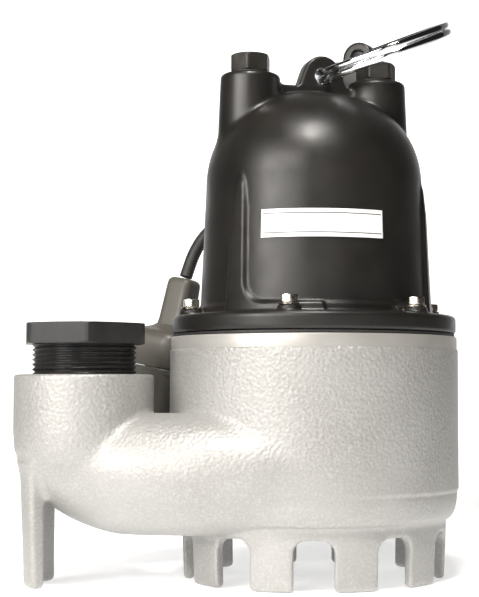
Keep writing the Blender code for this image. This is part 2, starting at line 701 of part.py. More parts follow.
def bearing(prefix, z, steel, cage_look):
    """Outer race, inner race, and the balls in their cage."""
    top = z + BEARING_WIDTH
    middle = z + BEARING_WIDTH / 2
    place(prefix + "_outer_race", washer(13.6, BEARING_R, z, top, 28), steel)
    place(prefix + "_inner_race", washer(SHAFT_R + GAP, 8.8, z, top, 20), steel)
    cage = place(prefix + "_balls", washer(10.5, 11.9, middle - 1.2, middle + 1.2, 16), cage_look)
    balls = []
    for i in range(7):
        x, y = from_front(BALL_PITCH_R, 360 / 7 * i)
        ball = bmesh.new()
        bmesh.ops.create_uvsphere(ball, u_segments=6, v_segments=4, radius=2.15)
        balls.append(moved(ball, Matrix.Translation((x, y, middle))))
    join(cage, *balls)


def rotor_core(look):
    bore_r = SHAFT_R + GAP
    profile = [(bore_r, STACK_LOW - 5), (16.0, STACK_LOW - 5), (26.0, STACK_LOW - 4), (27.6, STACK_LOW)]
    profile += [(27.6, STACK_HIGH), (26.0, STACK_HIGH + 4), (16.0, STACK_HIGH + 5), (bore_r, STACK_HIGH + 5)]
    return place("rotor_core", hoop(profile, 24), look)


def stator_core(look):
    stack = washer(STATOR_INNER_R, HOUSING_BORE_R - GAP, STACK_LOW, STACK_HIGH, 28)
    core = place("stator_core", stack, look)
    slots = []
    for i in range(12):
        outline = [(-2.6, 26.0), (2.6, 26.0), (3.6, 39.0), (-3.6, 39.0)]
        turn = Matrix.Rotation(2 * math.pi * (i + 0.5) / 12, 4, "Z")
        slots.append(moved(prism(outline, STACK_LOW - 2, STACK_HIGH + 2), turn))
    return cut(core, *slots)


def winding(name, low, high, look):
    """The turned-over wire bundle at one end of the stator."""
    middle_r, half, middle_z, rise = 38.0, 7.6, (low + high) / 2, (high - low) / 2
    turns = [math.radians(60 * i) for i in range(6)]
    profile = [(middle_r + half * math.cos(t), middle_z + rise * math.sin(t)) for t in turns]
    return place(name, hoop(profile, 24), look)


# ---- cord entries and electrics ----------------------------------------------------------------------


def float_gland(look, rubber):
    pose = along(GLAND_FACE, GLAND_DIRECTION)
    nut = place("float_gland_nut", moved(prism(polygon(8.0, 6), GAP, 6.0), pose), look)
    join(nut, moved(turned([(0, 5.0), (6.4, 5.0), (5.8, GLAND_LENGTH), (0, GLAND_LENGTH)], 24), pose))
    cut(nut, moved(rod(CORD_R + GAP, -2.0, 10.0, 24), pose))
    place("float_gland_grommet", moved(washer(CORD_R + GAP, 5.3, -8.0, 0.0, 24), pose), rubber)


def power_gland(look, rubber):
    pose = along((0, 0, POWER_INLET_Z), POWER_DIRECTION)
    nut = place("power_gland_nut", moved(prism(polygon(10.5, 6), 58.3, 64.0), pose), look)
    join(nut, moved(turned([(0, 63.0), (8.4, 63.0), (7.8, 66.5), (0, 66.5)], 28), pose))
    cut(nut, moved(rod(4.4, 50.0, 70.0, 24), pose))
    place("power_gland_grommet", moved(washer(4.4, 6.3, 52.3, 58.0, 24), pose), rubber)


def terminal_block(look):
    block = bmesh.new()
    bmesh.ops.create_cube(block, size=1.0)
    base = WINDING_HIGH + GAP
    moved(block, Matrix.Translation((-33.0, 12.0, base + 4.5)) @ Matrix.Diagonal((9.0, 18.0, 9.0, 1)))
    body = place("terminal_block", block, look)
    grooves = []
    for i in (-1, 0, 1):
        grooves.append(rod(1.6, base + 5.0, base + 12.0, 12, -33.0, 12.0 + 5.6 * i))
    return cut(body, *grooves)


def thermal_protector(look):
    case = loft([rounded_box(12, 7, 2, z) for z in (0, 4.5)])
    return place("thermal_protector", moved(case, Matrix.Translation((26, 26, WINDING_HIGH + GAP))), look)


# ---- float switch ------------------------------------------------------------------------------------


def float_pose():
    """The matrix of the float: its own -Z runs down the float from the top of its neck."""
    tilt = Matrix.Rotation(math.radians(FLOAT_TILT), 4, "Y")
    yaw = Matrix.Rotation(math.radians(FLOAT_YAW), 4, "Z")
    return Matrix.Translation(FLOAT_TOP) @ tilt @ yaw


def float_rings(levels, shrink=0.0):
    """Level rings of the float body: (distance down, width, depth, corner)."""
    return [rounded_box(w - 2 * shrink, d - 2 * shrink, max(c - shrink, 1.0), -down) for down, w, d, c in levels]


def gland_point():
    """Where the cord leaves the gland nut, which the float swings about."""
    return GLAND_FACE + GLAND_LENGTH * GLAND_DIRECTION


def float_upper_shell(look):
    levels = [(0.0, 11.6, 11.6, 3.0), (1.2, 14.0, 14.0, 3.6), (24.0, 15.6, 15.6, 4.0), (25.6, 18.0, 20.0, 4.6)]
    levels += [(29.0, 28.4, 40.0, 7.0), (31.0, 30.0, 43.0, 7.6), (FLOAT_SEAM, 30.4, 44.0, 8.0)]
    outside = moved(loft(float_rings(levels)), float_pose())
    shell = place("float_upper_shell", outside, look, gland_point())
    inside = [(28.5, 12.0, 14.0, 3.0), (32.6, 25.6, 38.6, 5.6), (FLOAT_SEAM + 2, 26.0, 39.6, 6.0)]
    stem = moved(rod(3.6, -30.0, -14.0, 20), float_pose())
    return cut(shell, moved(loft(float_rings(inside)), float_pose()), stem)


def float_lower_shell(look):
    low = FLOAT_LENGTH
    levels = [(FLOAT_SEAM + GAP, 31.0, 44.6, 8.3), (FLOAT_SEAM + 3.0, 31.0, 44.6, 8.3)]
    levels += [(FLOAT_SEAM + 3.6, 30.0, 43.6, 7.8), (low - 6.0, 29.0, 42.0, 7.4)]
    levels += [(low - 2.0, 26.6, 39.6, 6.8), (low, 21.0, 34.0, 5.0)]
    outside = moved(loft(float_rings(levels)), float_pose())
    shell = place("float_lower_shell", outside, look, gland_point())
    inside = [(FLOAT_SEAM - 2, 26.6, 40.0, 6.0), (low - 6.0, 24.6, 37.6, 5.4), (low - 2.6, 20.0, 33.0, 4.0)]
    return cut(shell, moved(loft(float_rings(inside)), float_pose()))


def float_insides(plastic, steel, brass):
    pose = float_pose() @ Matrix.Translation((0, -9.0, 0))
    track_low, track_high = -84.0, -58.0
    track = moved(rod(7.4, track_low - 2, track_high, 20), pose)
    tube = place("ball_track", track, plastic, gland_point())
    cut(tube, moved(rod(BALL_R + 0.4, track_low, track_high + 2, 20), pose))
    ball = bmesh.new()
    bmesh.ops.create_icosphere(ball, subdivisions=2, radius=BALL_R)
    rest = pose @ Vector((0, 0, track_low + BALL_R + GAP))
    place("float_ball", moved(ball, Matrix.Translation(rest)), steel, rest)
    switch = loft([rounded_box(9.0, 18.0, 1.5, z) for z in (-56.6, -46.0)])
    moved(switch, float_pose() @ Matrix.Translation((0, -6.0, 0)))
    place("snap_switch", switch, plastic, gland_point())
    clamp = washer(3.9, 6.2, -37.5, -33.0, 20)
    place("float_cord_clamp", moved(clamp, float_pose()), brass, gland_point())


def smooth_route(route, spacing):
    """Evenly spaced points of a smooth (Catmull-Rom) curve through the route's own points."""
    points = [Vector(p) for p in route]
    points = [2 * points[0] - points[1]] + points + [2 * points[-1] - points[-2]]
    fine = []
    for a, b, c, d in zip(points, points[1:], points[2:], points[3:]):
        for i in range(12):
            t = i / 12
            bend = (2 * a - 5 * b + 4 * c - d) * t**2 + (3 * b - a - 3 * c + d) * t**3
            fine.append(0.5 * (2 * b + (c - a) * t + bend))
    fine.append(points[-2])
    lengths = np.concatenate([[0], np.cumsum([(q - p).length for p, q in zip(fine, fine[1:])])])
    count = max(2, round(lengths[-1] / spacing))
    even = np.linspace(0, lengths[-1], count + 1)
    axes = [np.interp(even, lengths, [p[k] for p in fine]) for k in range(3)]
    return [Vector(p) for p in zip(*axes)]


def float_cord(look):
    curve = bpy.data.curves.new("float_cord", "CURVE")
    curve.dimensions = "3D"
    curve.bevel_depth = CORD_R * MM
    curve.bevel_resolution = 2
    curve.use_fill_caps = True
    route = smooth_route(CORD_ROUTE, 6.5)
    spline = curve.splines.new("POLY")
    spline.points.add(len(route) - 1)
    start = gland_point()
    for knot, point in zip(spline.points, route):
        knot.co = (*((point - start) * MM), 1.0)
    curve.materials.append(look)
    cord = bpy.data.objects.new("float_cord", curve)
    cord.location = (start + SHAFT) * MM
    bpy.context.scene.collection.objects.link(cord)


def main():
    for obj in list(bpy.data.objects):
        bpy.data.objects.remove(obj, do_unlink=True)
    silver = material("silver_paint", (0.62, 0.60, 0.57), 0.38, 0.55)
    black = material("black_paint", (0.030, 0.029, 0.026), 0.42, 0.0)
    bushing_look = material("black_bushing", (0.025, 0.025, 0.027), 0.35, 0.0)
    nickel = material("nickel_steel", (0.80, 0.77, 0.72), 0.25, 1.0)
    chrome = material("chrome", (0.85, 0.86, 0.88), 0.08, 1.0)
    plug_look = material("plug_iron", (0.035, 0.034, 0.032), 0.45, 0.2)
    white = material("label_white", (0.88, 0.88, 0.87), 0.4, 0.0)
    rubber = material("black_rubber", (0.02, 0.02, 0.021), 0.6, 0.0)
    steel = material("bright_steel", (0.66, 0.66, 0.67), 0.3, 1.0)
    iron = material("cast_iron", (0.32, 0.31, 0.30), 0.6, 0.8)
    copper = material("copper_wire", (0.72, 0.36, 0.18), 0.4, 1.0)
    ceramic = material("ceramic", (0.86, 0.84, 0.80), 0.3, 0.0)
    brass = material("brass", (0.80, 0.62, 0.30), 0.3, 1.0)
    cream = material("cream_plastic", (0.72, 0.68, 0.58), 0.5, 0.0)
    olive = material("float_plastic", (0.060, 0.060, 0.055), 0.5, 0.0)

    volute_casing(silver)
    discharge_bushing(bushing_look)
    housing_gasket(rubber)
    motor_housing(black)
    for index in range(len(BOLT_ANGLES)):
        flange_bolt(index, nickel)
    for name, side in (("left", -1), ("right", 1)):
        oil_plug(f"oil_plug_{name}", side, plug_look)
        oil_plug_seal(f"oil_plug_seal_{name}", side, rubber)
    label_plate(white)
    lift_ring(chrome)
    bearing_carrier(iron)
    shaft(steel)
    impeller(iron)
    impeller_nut(steel)
    place("seal_seat", washer(7.6, 13.0, 72.6, 77.3, 28), ceramic)
    place("seal_head", washer(SHAFT_R + GAP, 11.4, 68.7, 72.3, 28), rubber)
    seal_spring(steel)
    bearing("lower_bearing", LOWER_BEARING_Z, steel, brass)
    bearing("upper_bearing", UPPER_BEARING_Z, steel, brass)
    rotor_core(steel)
    stator_core(iron)
    winding("lower_winding", 113.0, STACK_LOW - GAP, copper)
    winding("upper_winding", STACK_HIGH + GAP, WINDING_HIGH, copper)
    terminal_block(cream)
    thermal_protector(black)
    float_gland(rubber, rubber)
    power_gland(rubber, rubber)
    float_cord(rubber)
    float_upper_shell(olive)
    float_lower_shell(olive)
    float_insides(cream, steel, brass)


main()
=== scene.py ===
"""The looks of a submersible sump pump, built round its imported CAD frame.

Shapes are worked out in millimetres about the shaft axis and the floor, as the pump is drawn, and become
metres in the frame when a mesh is made. The two castings are distance fields, meshed by surface nets, so
that their bosses, tube and towers run into each other with the fillets of a casting.
"""

import json
import math

import bpy
import numpy as np
from mathutils import Matrix, Vector


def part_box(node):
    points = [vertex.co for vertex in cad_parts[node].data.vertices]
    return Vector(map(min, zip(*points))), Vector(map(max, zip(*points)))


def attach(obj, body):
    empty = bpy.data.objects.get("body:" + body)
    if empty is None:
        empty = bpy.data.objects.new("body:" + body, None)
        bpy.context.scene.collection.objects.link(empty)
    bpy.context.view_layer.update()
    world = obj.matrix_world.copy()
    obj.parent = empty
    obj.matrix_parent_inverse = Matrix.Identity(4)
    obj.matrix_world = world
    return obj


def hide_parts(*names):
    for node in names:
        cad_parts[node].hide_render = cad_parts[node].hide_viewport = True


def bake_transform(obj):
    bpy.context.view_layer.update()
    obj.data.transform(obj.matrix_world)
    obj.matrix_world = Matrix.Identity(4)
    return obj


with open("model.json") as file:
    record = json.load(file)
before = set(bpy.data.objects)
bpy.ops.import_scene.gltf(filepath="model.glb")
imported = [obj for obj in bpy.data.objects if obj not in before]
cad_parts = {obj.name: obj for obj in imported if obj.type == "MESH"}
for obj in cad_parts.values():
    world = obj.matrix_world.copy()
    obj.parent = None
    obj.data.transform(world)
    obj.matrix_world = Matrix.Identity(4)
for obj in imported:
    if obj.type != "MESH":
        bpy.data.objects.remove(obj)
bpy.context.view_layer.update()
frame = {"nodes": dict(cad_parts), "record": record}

MM = 0.001
shaft_low, shaft_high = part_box("shaft")
SHAFT = Vector(((shaft_low.x + shaft_high.x) / 2, (shaft_low.y + shaft_high.y) / 2, 0.0)) / MM

# Casing
CASE_R = 69.0
BAND_LOW = 108.0  # the machined band runs from here to the joint face
CASE_TOP = 114.0
BAND_R = 68.5
CHAMBER_R = 52.0
UPPER_BORE_R = 55.0
FOOT_COUNT = 10
TOWER_XY = (-106.0, -29.0)
TOWER_R = 32.0
TOWER_TOP = 96.0
TOWER_EDGE = 1.4  # the round of the tower's top edge
TUBE_WALL = 6.5
LEG_HALF_ANGLE = math.radians(44)
LEG_INNER_R = 20.4
LEG_TOP = 54.0

# Discharge bushing
THREAD_R = 24.0
THREAD_PITCH = 2.209
THREAD_ROWS = 12  # rings of points in one pitch
BUSHING_THREAD_LOW = 72.7
BUSHING_HEX_Z = 110.0
BUSHING_HEX_R = 30.7  # over the head's corners
BUSHING_HEX_TURN = math.radians(-90 + 11.6)
BUSHING_TOP = 119.5
BUSHING_BORE_R = 19.4

# Motor housing
FLANGE_R = 68.0
FLANGE_BOTTOM = 115.6
FLANGE_TOP = 124.0
DOME_Z = 186.0
DOME_R = 52.0
DOME_RISE = 46.0
BOLT_CIRCLE_R = 61.0
BOLT_TURN = -10.4  # degrees from the front towards +X
BOSS_R = 5.3
BOSS_FOOT = 118.0
BOSS_TOP = 126.5
RIB_TURN = -40.4
TOWER_LINE = math.radians(19.2)  # the oil towers' line, from X
OIL_TOWER_RADIUS = 32.3
OIL_TOWER_TOP = 239.6
OIL_PLUG_HEX_R = 10.05
RIDGE_TOP = 235.6
EYE_HOLE = Vector((2.9, 1.0, 241.3))
EYE_TILT = math.radians(5.0)
TALL_EYE = Vector((23.5, 28.8, 255.9))
TALL_EYE_YAW = math.radians(-29.0)
MOTOR_ROOM_R = 47.6
POWER_INLET = Vector((0.0, 0.0, 189.0))  # on the shaft's axis; its bore runs out to the back

# Lifting ring
RING_R = 34.55
RING_WIRE_R = 1.65
RING_COIL_STEP = 3.5
RING_LIFT = math.radians(23.5)

# Float switch and its cord
GLAND_FACE = Vector((-31.3, 50.0, 182.6))
GLAND_DIRECTION = Vector((-0.928, 0.0, -0.372))
CORD_R = 3.25
RELIEF_R = 5.4  # at the gland, tapering to RELIEF_END_R
RELIEF_END_R = 3.7
CORD_ROUTE = [  # metres from the shaft axis and the floor
    (-0.0395, 0.0500, 0.1793),
    (-0.0473, 0.0494, 0.1756),
    (-0.0534, 0.0482, 0.1710),
    (-0.0580, 0.0468, 0.1654),
    (-0.0616, 0.0453, 0.1586),
    (-0.0640, 0.0440, 0.1518),
    (-0.0656, 0.0432, 0.1466),
]
FLOAT_TOP = Vector((-65.9, 43.0, 145.6))
FLOAT_YAW = math.radians(-27.6)
FLOAT_TILT = math.radians(11.0)
FLOAT_SEAM = 47.0
FLOAT_LENGTH = 93.0

# Camera
CAMERA_PLACE = Vector((0.0, -722.0, 88.8))
CAMERA_PITCH = math.radians(90 + 3.5)
CAMERA_LENS = 90.4
CAMERA_SHIFT = -0.1248  # the shaft stands right of the picture's middle


# ---- meshes ----


def make_object(name, points, faces, look, smooth_below=40.0):
    """A mesh from points in pump millimetres, shaded smooth except across sharp edges."""
    mesh = bpy.data.meshes.new(name)
    world = (np.asarray(points, float).reshape(-1, 3) + np.array(SHAFT)) * MM
    mesh.from_pydata(world.tolist(), [], faces if isinstance(faces, list) else faces.tolist())
    mesh.validate()
    mesh.shade_smooth()
    if smooth_below:
        mesh.set_sharp_from_angle(angle=math.radians(smooth_below))
    mesh.materials.append(look)
    obj = bpy.data.objects.new(name, mesh)
    bpy.context.scene.collection.objects.link(obj)
    return obj


def skin(rings, closed=False):
    """Points and quads through rings of equally many points; closed joins the last ring to the first."""
    count = len(rings[0])
    points = [p for ring in rings for p in ring]
    faces = []
    for i in range(len(rings) if closed else len(rings) - 1):
        low, high = i * count, (i + 1) % len(rings) * count
        for j in range(count):
            k = (j + 1) % count
            faces.append((low + j, low + k, high + k, high + j))
    if not closed:
        faces.append(tuple(range(count))[::-1])
        faces.append(tuple(range(len(points) - count, len(points))))
    return points, faces


def arc(center_x, center_y, radius, start, end, steps):
    turns = np.radians(np.linspace(start, end, steps + 1))
    return [(center_x + radius * math.cos(t), center_y + radius * math.sin(t)) for t in turns]


def full_turn(segments):
    return np.linspace(0, 2 * math.pi, segments, endpoint=False)


def circle(center, radius, z, turns):
    return [(center[0] + radius * math.cos(t), center[1] + radius * math.sin(t), z) for t in turns]


def turned(profile, center, segments):
    """Rings of a profile (radius, z) turned about an upright line."""
    turns = full_turn(segments)
    return [circle(center, radius, z, turns) for radius, z in profile]


def transform(points, matrix):
    return [matrix @ Vector(p) for p in points]


def along(start, direction):
    """A pose at a start, with its Z along a direction."""
    turn = Vector(direction).to_track_quat("Z", "Y").to_matrix().to_4x4()
    return Matrix.Translation(Vector(start)) @ turn


def from_front(radius, degrees):
    """The place at a radius and at an angle from the front towards +X."""
    turn = math.radians(degrees)
    return radius * math.sin(turn), -radius * math.cos(turn)


def smooth_route(route, spacing):
    """Evenly spaced points of a smooth (Catmull-Rom) curve through the route's own points."""
    points = [Vector(p) for p in route]
    points = [2 * points[0] - points[1]] + points + [2 * points[-1] - points[-2]]
    fine = []
    for a, b, c, d in zip(points, points[1:], points[2:], points[3:]):
        for i in range(12):
            t = i / 12
            bend = (2 * a - 5 * b + 4 * c - d) * t**2 + (3 * b - a - 3 * c + d) * t**3
            fine.append(0.5 * (2 * b + (c - a) * t + bend))
    fine.append(points[-2])
    lengths = np.concatenate([[0], np.cumsum([(q - p).length for p, q in zip(fine, fine[1:])])])
    count = max(2, round(lengths[-1] / spacing))
    even = np.linspace(0, lengths[-1], count + 1)
    axes = [np.interp(even, lengths, [p[k] for p in fine]) for k in range(3)]
    return [Vector(p) for p in zip(*axes)]


def tube_along(route, radii, segments=20):
    """Rings of a round tube along a route, with one radius per point."""
    turns = full_turn(segments)
    rings = []
    side = None
    for i, point in enumerate(route):
        ahead = (route[min(i + 1, len(route) - 1)] - route[max(i - 1, 0)]).normalized()
        if side is None:
            side = ahead.orthogonal()
        side = (side - ahead * side.dot(ahead)).normalized()
        up = ahead.cross(side)
        rings.append([point + radii[i] * (math.cos(t) * side + math.sin(t) * up) for t in turns])
    return rings


# ---- distance fields ----


def smooth_min(a, b, blend):
    share = np.clip(0.5 + 0.5 * (b - a) / blend, 0, 1)
    return b * (1 - share) + a * share - blend * share * (1 - share)


def smooth_max(a, b, blend):
    return -smooth_min(-a, -b, blend)


def outline(points, margin=14.0, step=0.2):
    """A function giving the signed distance to a closed outline, read from a table of it."""
    corners = np.array(points, float)
    low = corners.min(0) - margin
    size = np.ceil((corners.max(0) + margin - low) / step).astype(int) + 1
    grid_x, grid_y = np.meshgrid(*(low[k] + step * np.arange(size[k]) for k in range(2)), indexing="ij")
    nearest = np.full(grid_x.shape, np.inf)
    inside = np.zeros(grid_x.shape, bool)
    for (ax, ay), (bx, by) in zip(corners, np.roll(corners, -1, 0)):
        ex, ey = bx - ax, by - ay
        wx, wy = grid_x - ax, grid_y - ay
        share = np.clip((wx * ex + wy * ey) / (ex * ex + ey * ey), 0, 1)
        nearest = np.minimum(nearest, (wx - ex * share) ** 2 + (wy - ey * share) ** 2)
        if ay != by:
            inside ^= ((ay > grid_y) != (by > grid_y)) & (grid_x < ex * (grid_y - ay) / ey + ax)
    table = np.where(inside, -1, 1) * np.sqrt(nearest)

    def distance(u, v):
        i = np.clip((u - low[0]) / step, 0, size[0] - 1.001)
        j = np.clip((v - low[1]) / step, 0, size[1] - 1.001)
        i0, j0 = i.astype(int), j.astype(int)
        fi, fj = i - i0, j - j0
        near = table[i0, j0] * (1 - fj) + table[i0, j0 + 1] * fj
        far = table[i0 + 1, j0] * (1 - fj) + table[i0 + 1, j0 + 1] * fj
        return near * (1 - fi) + far * fi

    return distance


def lathe(profile):
    """The field of a solid of revolution: its profile starts and ends on the axis, and is widened past it."""
    field = outline([(-20.0 if r == 0 else r, z) for r, z in profile])
    return lambda x, y, z: field(np.hypot(x, y), z)


def plate(shape, half, edge):
    """The field of an outline's plate, from its distance in the plane, with round edges."""

    def distance(u, v, across):
        flat = shape(u, v) + edge
        deep = np.abs(across) - half + edge
        outside = np.hypot(np.maximum(flat, 0), np.maximum(deep, 0))
        return np.minimum(np.maximum(flat, deep), 0) + outside - edge

    return distance


def fold(x, y, count, first):
    """Sideways and radial distance from the nearest of evenly spaced directions; first is in degrees."""
    turn = 2 * math.pi / count
    angle = np.arctan2(x, -y) - math.radians(first)
    angle = angle - turn * np.round(angle / turn)
    radius = np.hypot(x, y)
    return radius * np.sin(angle), radius * np.cos(angle)


def rod_field(point, direction, radius, low, high):
    """A round bar about a line through a point, from one distance along it to another."""
    unit = np.array(Vector(direction).normalized())
    base = np.array(Vector(point))

    def distance(x, y, z):
        px, py, pz = x - base[0], y - base[1], z - base[2]
        height = px * unit[0] + py * unit[1] + pz * unit[2]
        away = np.sqrt(np.maximum(px**2 + py**2 + pz**2 - height**2, 0)) - radius
        return np.maximum(away, np.maximum(low - height, height - high))

    return distance


def sample(field, low, high, step, block=4):
    """Field values on a grid; blocks of points far from the surface share one value."""
    counts = np.ceil((np.array(high) - low) / (step * block)).astype(int)
    centers = [low[k] + step * block * (np.arange(counts[k]) + 0.5) - step / 2 for k in range(3)]
    coarse = field(*np.meshgrid(*centers, indexing="ij"))
    reach = step * block * 1.4
    values = coarse.astype(np.float32)
    near = np.abs(coarse) < reach
    for axis in range(3):
        values = np.repeat(values, block, axis)
        near = np.repeat(near, block, axis)
    index = np.nonzero(near)
    chunk = 400000
    for start in range(0, len(index[0]), chunk):
        part = tuple(i[start : start + chunk] for i in index)
        values[part] = field(*(low[k] + step * part[k] for k in range(3)))
    return values


def surface_nets(values, low, step):
    """One point in each cell that the surface passes, and one quad round each grid edge that it crosses."""
    inside = values < 0
    corners = [(i, j, k) for i in (0, 1) for j in (0, 1) for k in (0, 1)]
    size = [n - 1 for n in values.shape]
    total = np.zeros(size, np.int8)
    for i, j, k in corners:
        total += inside[i : i + size[0], j : j + size[1], k : k + size[2]]
    cells = np.nonzero((total > 0) & (total < 8))
    number = np.full(size, -1, np.int64)
    number[cells] = np.arange(len(cells[0]))
    at = {c: values[cells[0] + c[0], cells[1] + c[1], cells[2] + c[2]].astype(float) for c in corners}
    summed = np.zeros((len(cells[0]), 3))
    crossings = np.zeros(len(cells[0]))
    for a in corners:
        for axis in range(3):
            if a[axis]:
                continue
            b = tuple(v + (k == axis) for k, v in enumerate(a))
            crossed = (at[a] < 0) != (at[b] < 0)
            share = np.where(crossed, at[a] / np.where(crossed, at[a] - at[b], 1), 0)
            for k in range(3):
                summed[:, k] += crossed * (a[k] + share * (k == axis))
            crossings += crossed
    points = (np.stack(cells, 1) + summed / crossings[:, None]) * step + low
    quads = []
    for axis in range(3):
        u, v = (axis + 1) % 3, (axis + 2) % 3
        first = [slice(None)] * 3
        second = [slice(None)] * 3
        first[axis], second[axis] = slice(0, -1), slice(1, None)
        starts_inside, ends_inside = inside[tuple(first)], inside[tuple(second)]
        for wanted, order in ((starts_inside & ~ends_inside, 1), (~starts_inside & ends_inside, -1)):
            edge = np.stack(np.nonzero(wanted), 1)
            keep = (edge[:, u] > 0) & (edge[:, v] > 0) & (edge[:, u] < size[u]) & (edge[:, v] < size[v])
            edge = edge[keep]
            ring = []
            for du, dv in ((-1, -1), (0, -1), (0, 0), (-1, 0)):
                cell = edge.copy()
                cell[:, u] += du
                cell[:, v] += dv
                ring.append(number[cell[:, 0], cell[:, 1], cell[:, 2]])
            quads.append(np.stack(ring[::order], 1))
    return points, np.concatenate(quads)


def settle(points, field, rounds=3, reach=0.8):
    """Moves points onto the field's surface along its slope."""
    small = 0.25
    for _ in range(rounds):
        x, y, z = points.T
        here = field(x, y, z)
        slope = np.stack(
            [
                field(x + small, y, z) - field(x - small, y, z),
                field(x, y + small, z) - field(x, y - small, z),
                field(x, y, z + small) - field(x, y, z - small),
            ],
            1,
        ) / (2 * small)
        steepness = np.maximum((slope**2).sum(1), 0.25)
        points = points - np.clip(here / steepness, -reach, reach)[:, None] * slope
    return points


def cast(name, field, low, high, step, look):
    """The mesh of a distance field, as one smooth casting."""
    low = np.array(low, float)
    points, quads = surface_nets(sample(field, low, high, step), low, step)
    points = settle(points, field)
    return make_object(name, points, quads, look, smooth_below=50.0)


# ---- materials ----


class Look:
    """A Principled material and the nodes that feed it."""

    def __init__(self, name, color, roughness, metallic=0.0):
        self.material = bpy.data.materials.new(name)
        self.material.use_nodes = True
        self.tree = self.material.node_tree
        self.shader = self.tree.nodes["Principled BSDF"]
        self.color = color
        self.shader.inputs["Base Color"].default_value = (*color, 1.0)
        self.shader.inputs["Roughness"].default_value = roughness
        self.shader.inputs["Metallic"].default_value = metallic
        self.place = self.tree.nodes.new("ShaderNodeTexCoord").outputs["Object"]
        self.normal = None

    def noise(self, per_metre, detail=3.0, roughness=0.5, stretch=None):
        node = self.tree.nodes.new("ShaderNodeTexNoise")
        node.inputs["Scale"].default_value = per_metre
        node.inputs["Detail"].default_value = detail
        node.inputs["Roughness"].default_value = roughness
        self.tree.links.new(self.stretched(stretch), node.inputs["Vector"])
        return node.outputs["Fac"]

    def cells(self, per_metre, smoothness=0.6):
        node = self.tree.nodes.new("ShaderNodeTexVoronoi")
        node.feature = "SMOOTH_F1"
        node.inputs["Scale"].default_value = per_metre
        node.inputs["Smoothness"].default_value = smoothness
        self.tree.links.new(self.place, node.inputs["Vector"])
        return node.outputs["Distance"]

    def stretched(self, stretch):
        if stretch is None:
            return self.place
        node = self.tree.nodes.new("ShaderNodeMapping")
        node.inputs["Scale"].default_value = stretch
        self.tree.links.new(self.place, node.inputs["Vector"])
        return node.outputs["Vector"]

    def above(self, low, high, source):
        """The source, faded in between two heights above the floor."""
        split = self.tree.nodes.new("ShaderNodeSeparateXYZ")
        self.tree.links.new(self.place, split.inputs["Vector"])
        product = self.tree.nodes.new("ShaderNodeMath")
        product.operation = "MULTIPLY"
        self.tree.links.new(self.ramp(split.outputs["Z"], 0.25, 1.0, low, high), product.inputs[0])
        self.tree.links.new(source, product.inputs[1])
        return product.outputs["Value"]

    def ramp(self, source, low, high, from_low=0.3, from_high=0.7):
        node = self.tree.nodes.new("ShaderNodeMapRange")
        node.inputs["From Min"].default_value = from_low
        node.inputs["From Max"].default_value = from_high
        node.inputs["To Min"].default_value = low
        node.inputs["To Max"].default_value = high
        self.tree.links.new(source, node.inputs["Value"])
        return node.outputs["Result"]

    def tint(self, source, other, from_low=0.3, from_high=0.7):
        """The colour so far goes to another colour where the source is high."""
        node = self.tree.nodes.new("ShaderNodeMix")
        node.data_type = "RGBA"
        first, second, mixed = node.inputs[6], node.inputs[7], node.outputs[2]  # the colour sockets
        base = self.shader.inputs["Base Color"]
        if base.is_linked:
            self.tree.links.new(base.links[0].from_socket, first)
        else:
            first.default_value = (*self.color, 1.0)
        second.default_value = (*other, 1.0)
        self.tree.links.new(self.ramp(source, 0.0, 1.0, from_low, from_high), node.inputs["Factor"])
        self.tree.links.new(mixed, base)
        return self

    def rough(self, source, low, high, from_low=0.3, from_high=0.7):
        ramp = self.ramp(source, low, high, from_low, from_high)
        self.tree.links.new(ramp, self.shader.inputs["Roughness"])
        return self

    def bump(self, source, distance, strength=1.0):
        """Adds relief of a height in metres; later calls add to earlier ones."""
        node = self.tree.nodes.new("ShaderNodeBump")
        node.inputs["Strength"].default_value = strength
        node.inputs["Distance"].default_value = distance
        self.tree.links.new(source, node.inputs["Height"])
        if self.normal:
            self.tree.links.new(self.normal, node.inputs["Normal"])
        self.normal = node.outputs["Normal"]
        self.tree.links.new(self.normal, self.shader.inputs["Normal"])
        return self


def hammered_silver():
    """Silver enamel with an orange-peel skin, which runs out towards the belly and the feet."""
    look = Look("hammered_silver", (0.350, 0.344, 0.330), 0.46, 0.40)
    grain = look.noise(620, detail=4.0, roughness=0.6)
    look.tint(look.noise(24, detail=2.0), (0.410, 0.407, 0.396))
    look.tint(look.noise(900, detail=2.0), (0.465, 0.463, 0.454), 0.45, 0.75)
    look.rough(grain, 0.42, 0.55)
    peel = look.above(0.042, 0.066, look.cells(620))
    return look.bump(peel, 0.00045, 0.55).bump(look.above(0.030, 0.060, grain), 0.00045, 0.5)


def machined_silver():
    look = Look("machined_silver", (0.42, 0.41, 0.39), 0.42, 0.45)
    look.tint(look.noise(30), (0.49, 0.475, 0.45))
    lines = look.noise(40, detail=4.0, stretch=(1, 1, 60))
    return look.bump(lines, 0.00004, 0.5).rough(lines, 0.36, 0.46)


def black_enamel():
    look = Look("black_enamel", (0.0085, 0.008, 0.0075), 0.34)
    look.tint(look.noise(45, detail=3.0), (0.015, 0.0135, 0.0115))
    grain = look.noise(520, detail=4.0, roughness=0.6)
    look.rough(look.noise(70, detail=4.0), 0.33, 0.43)
    return look.bump(look.noise(60, detail=2.0), 0.0003, 0.25).bump(grain, 0.00008, 0.35)


def moulded_black():
    look = Look("moulded_black", (0.012, 0.012, 0.013), 0.36)
    look.tint(look.noise(80), (0.022, 0.021, 0.020))
    return look.bump(look.noise(700, detail=3.0), 0.00004, 0.5).rough(look.noise(120), 0.30, 0.42)


def nickel():
    look = Look("nickel_plate", (0.66, 0.62, 0.55), 0.24, 1.0)
    look.tint(look.noise(180), (0.50, 0.46, 0.40), 0.45, 0.8)
    return look.rough(look.noise(240), 0.2, 0.32)


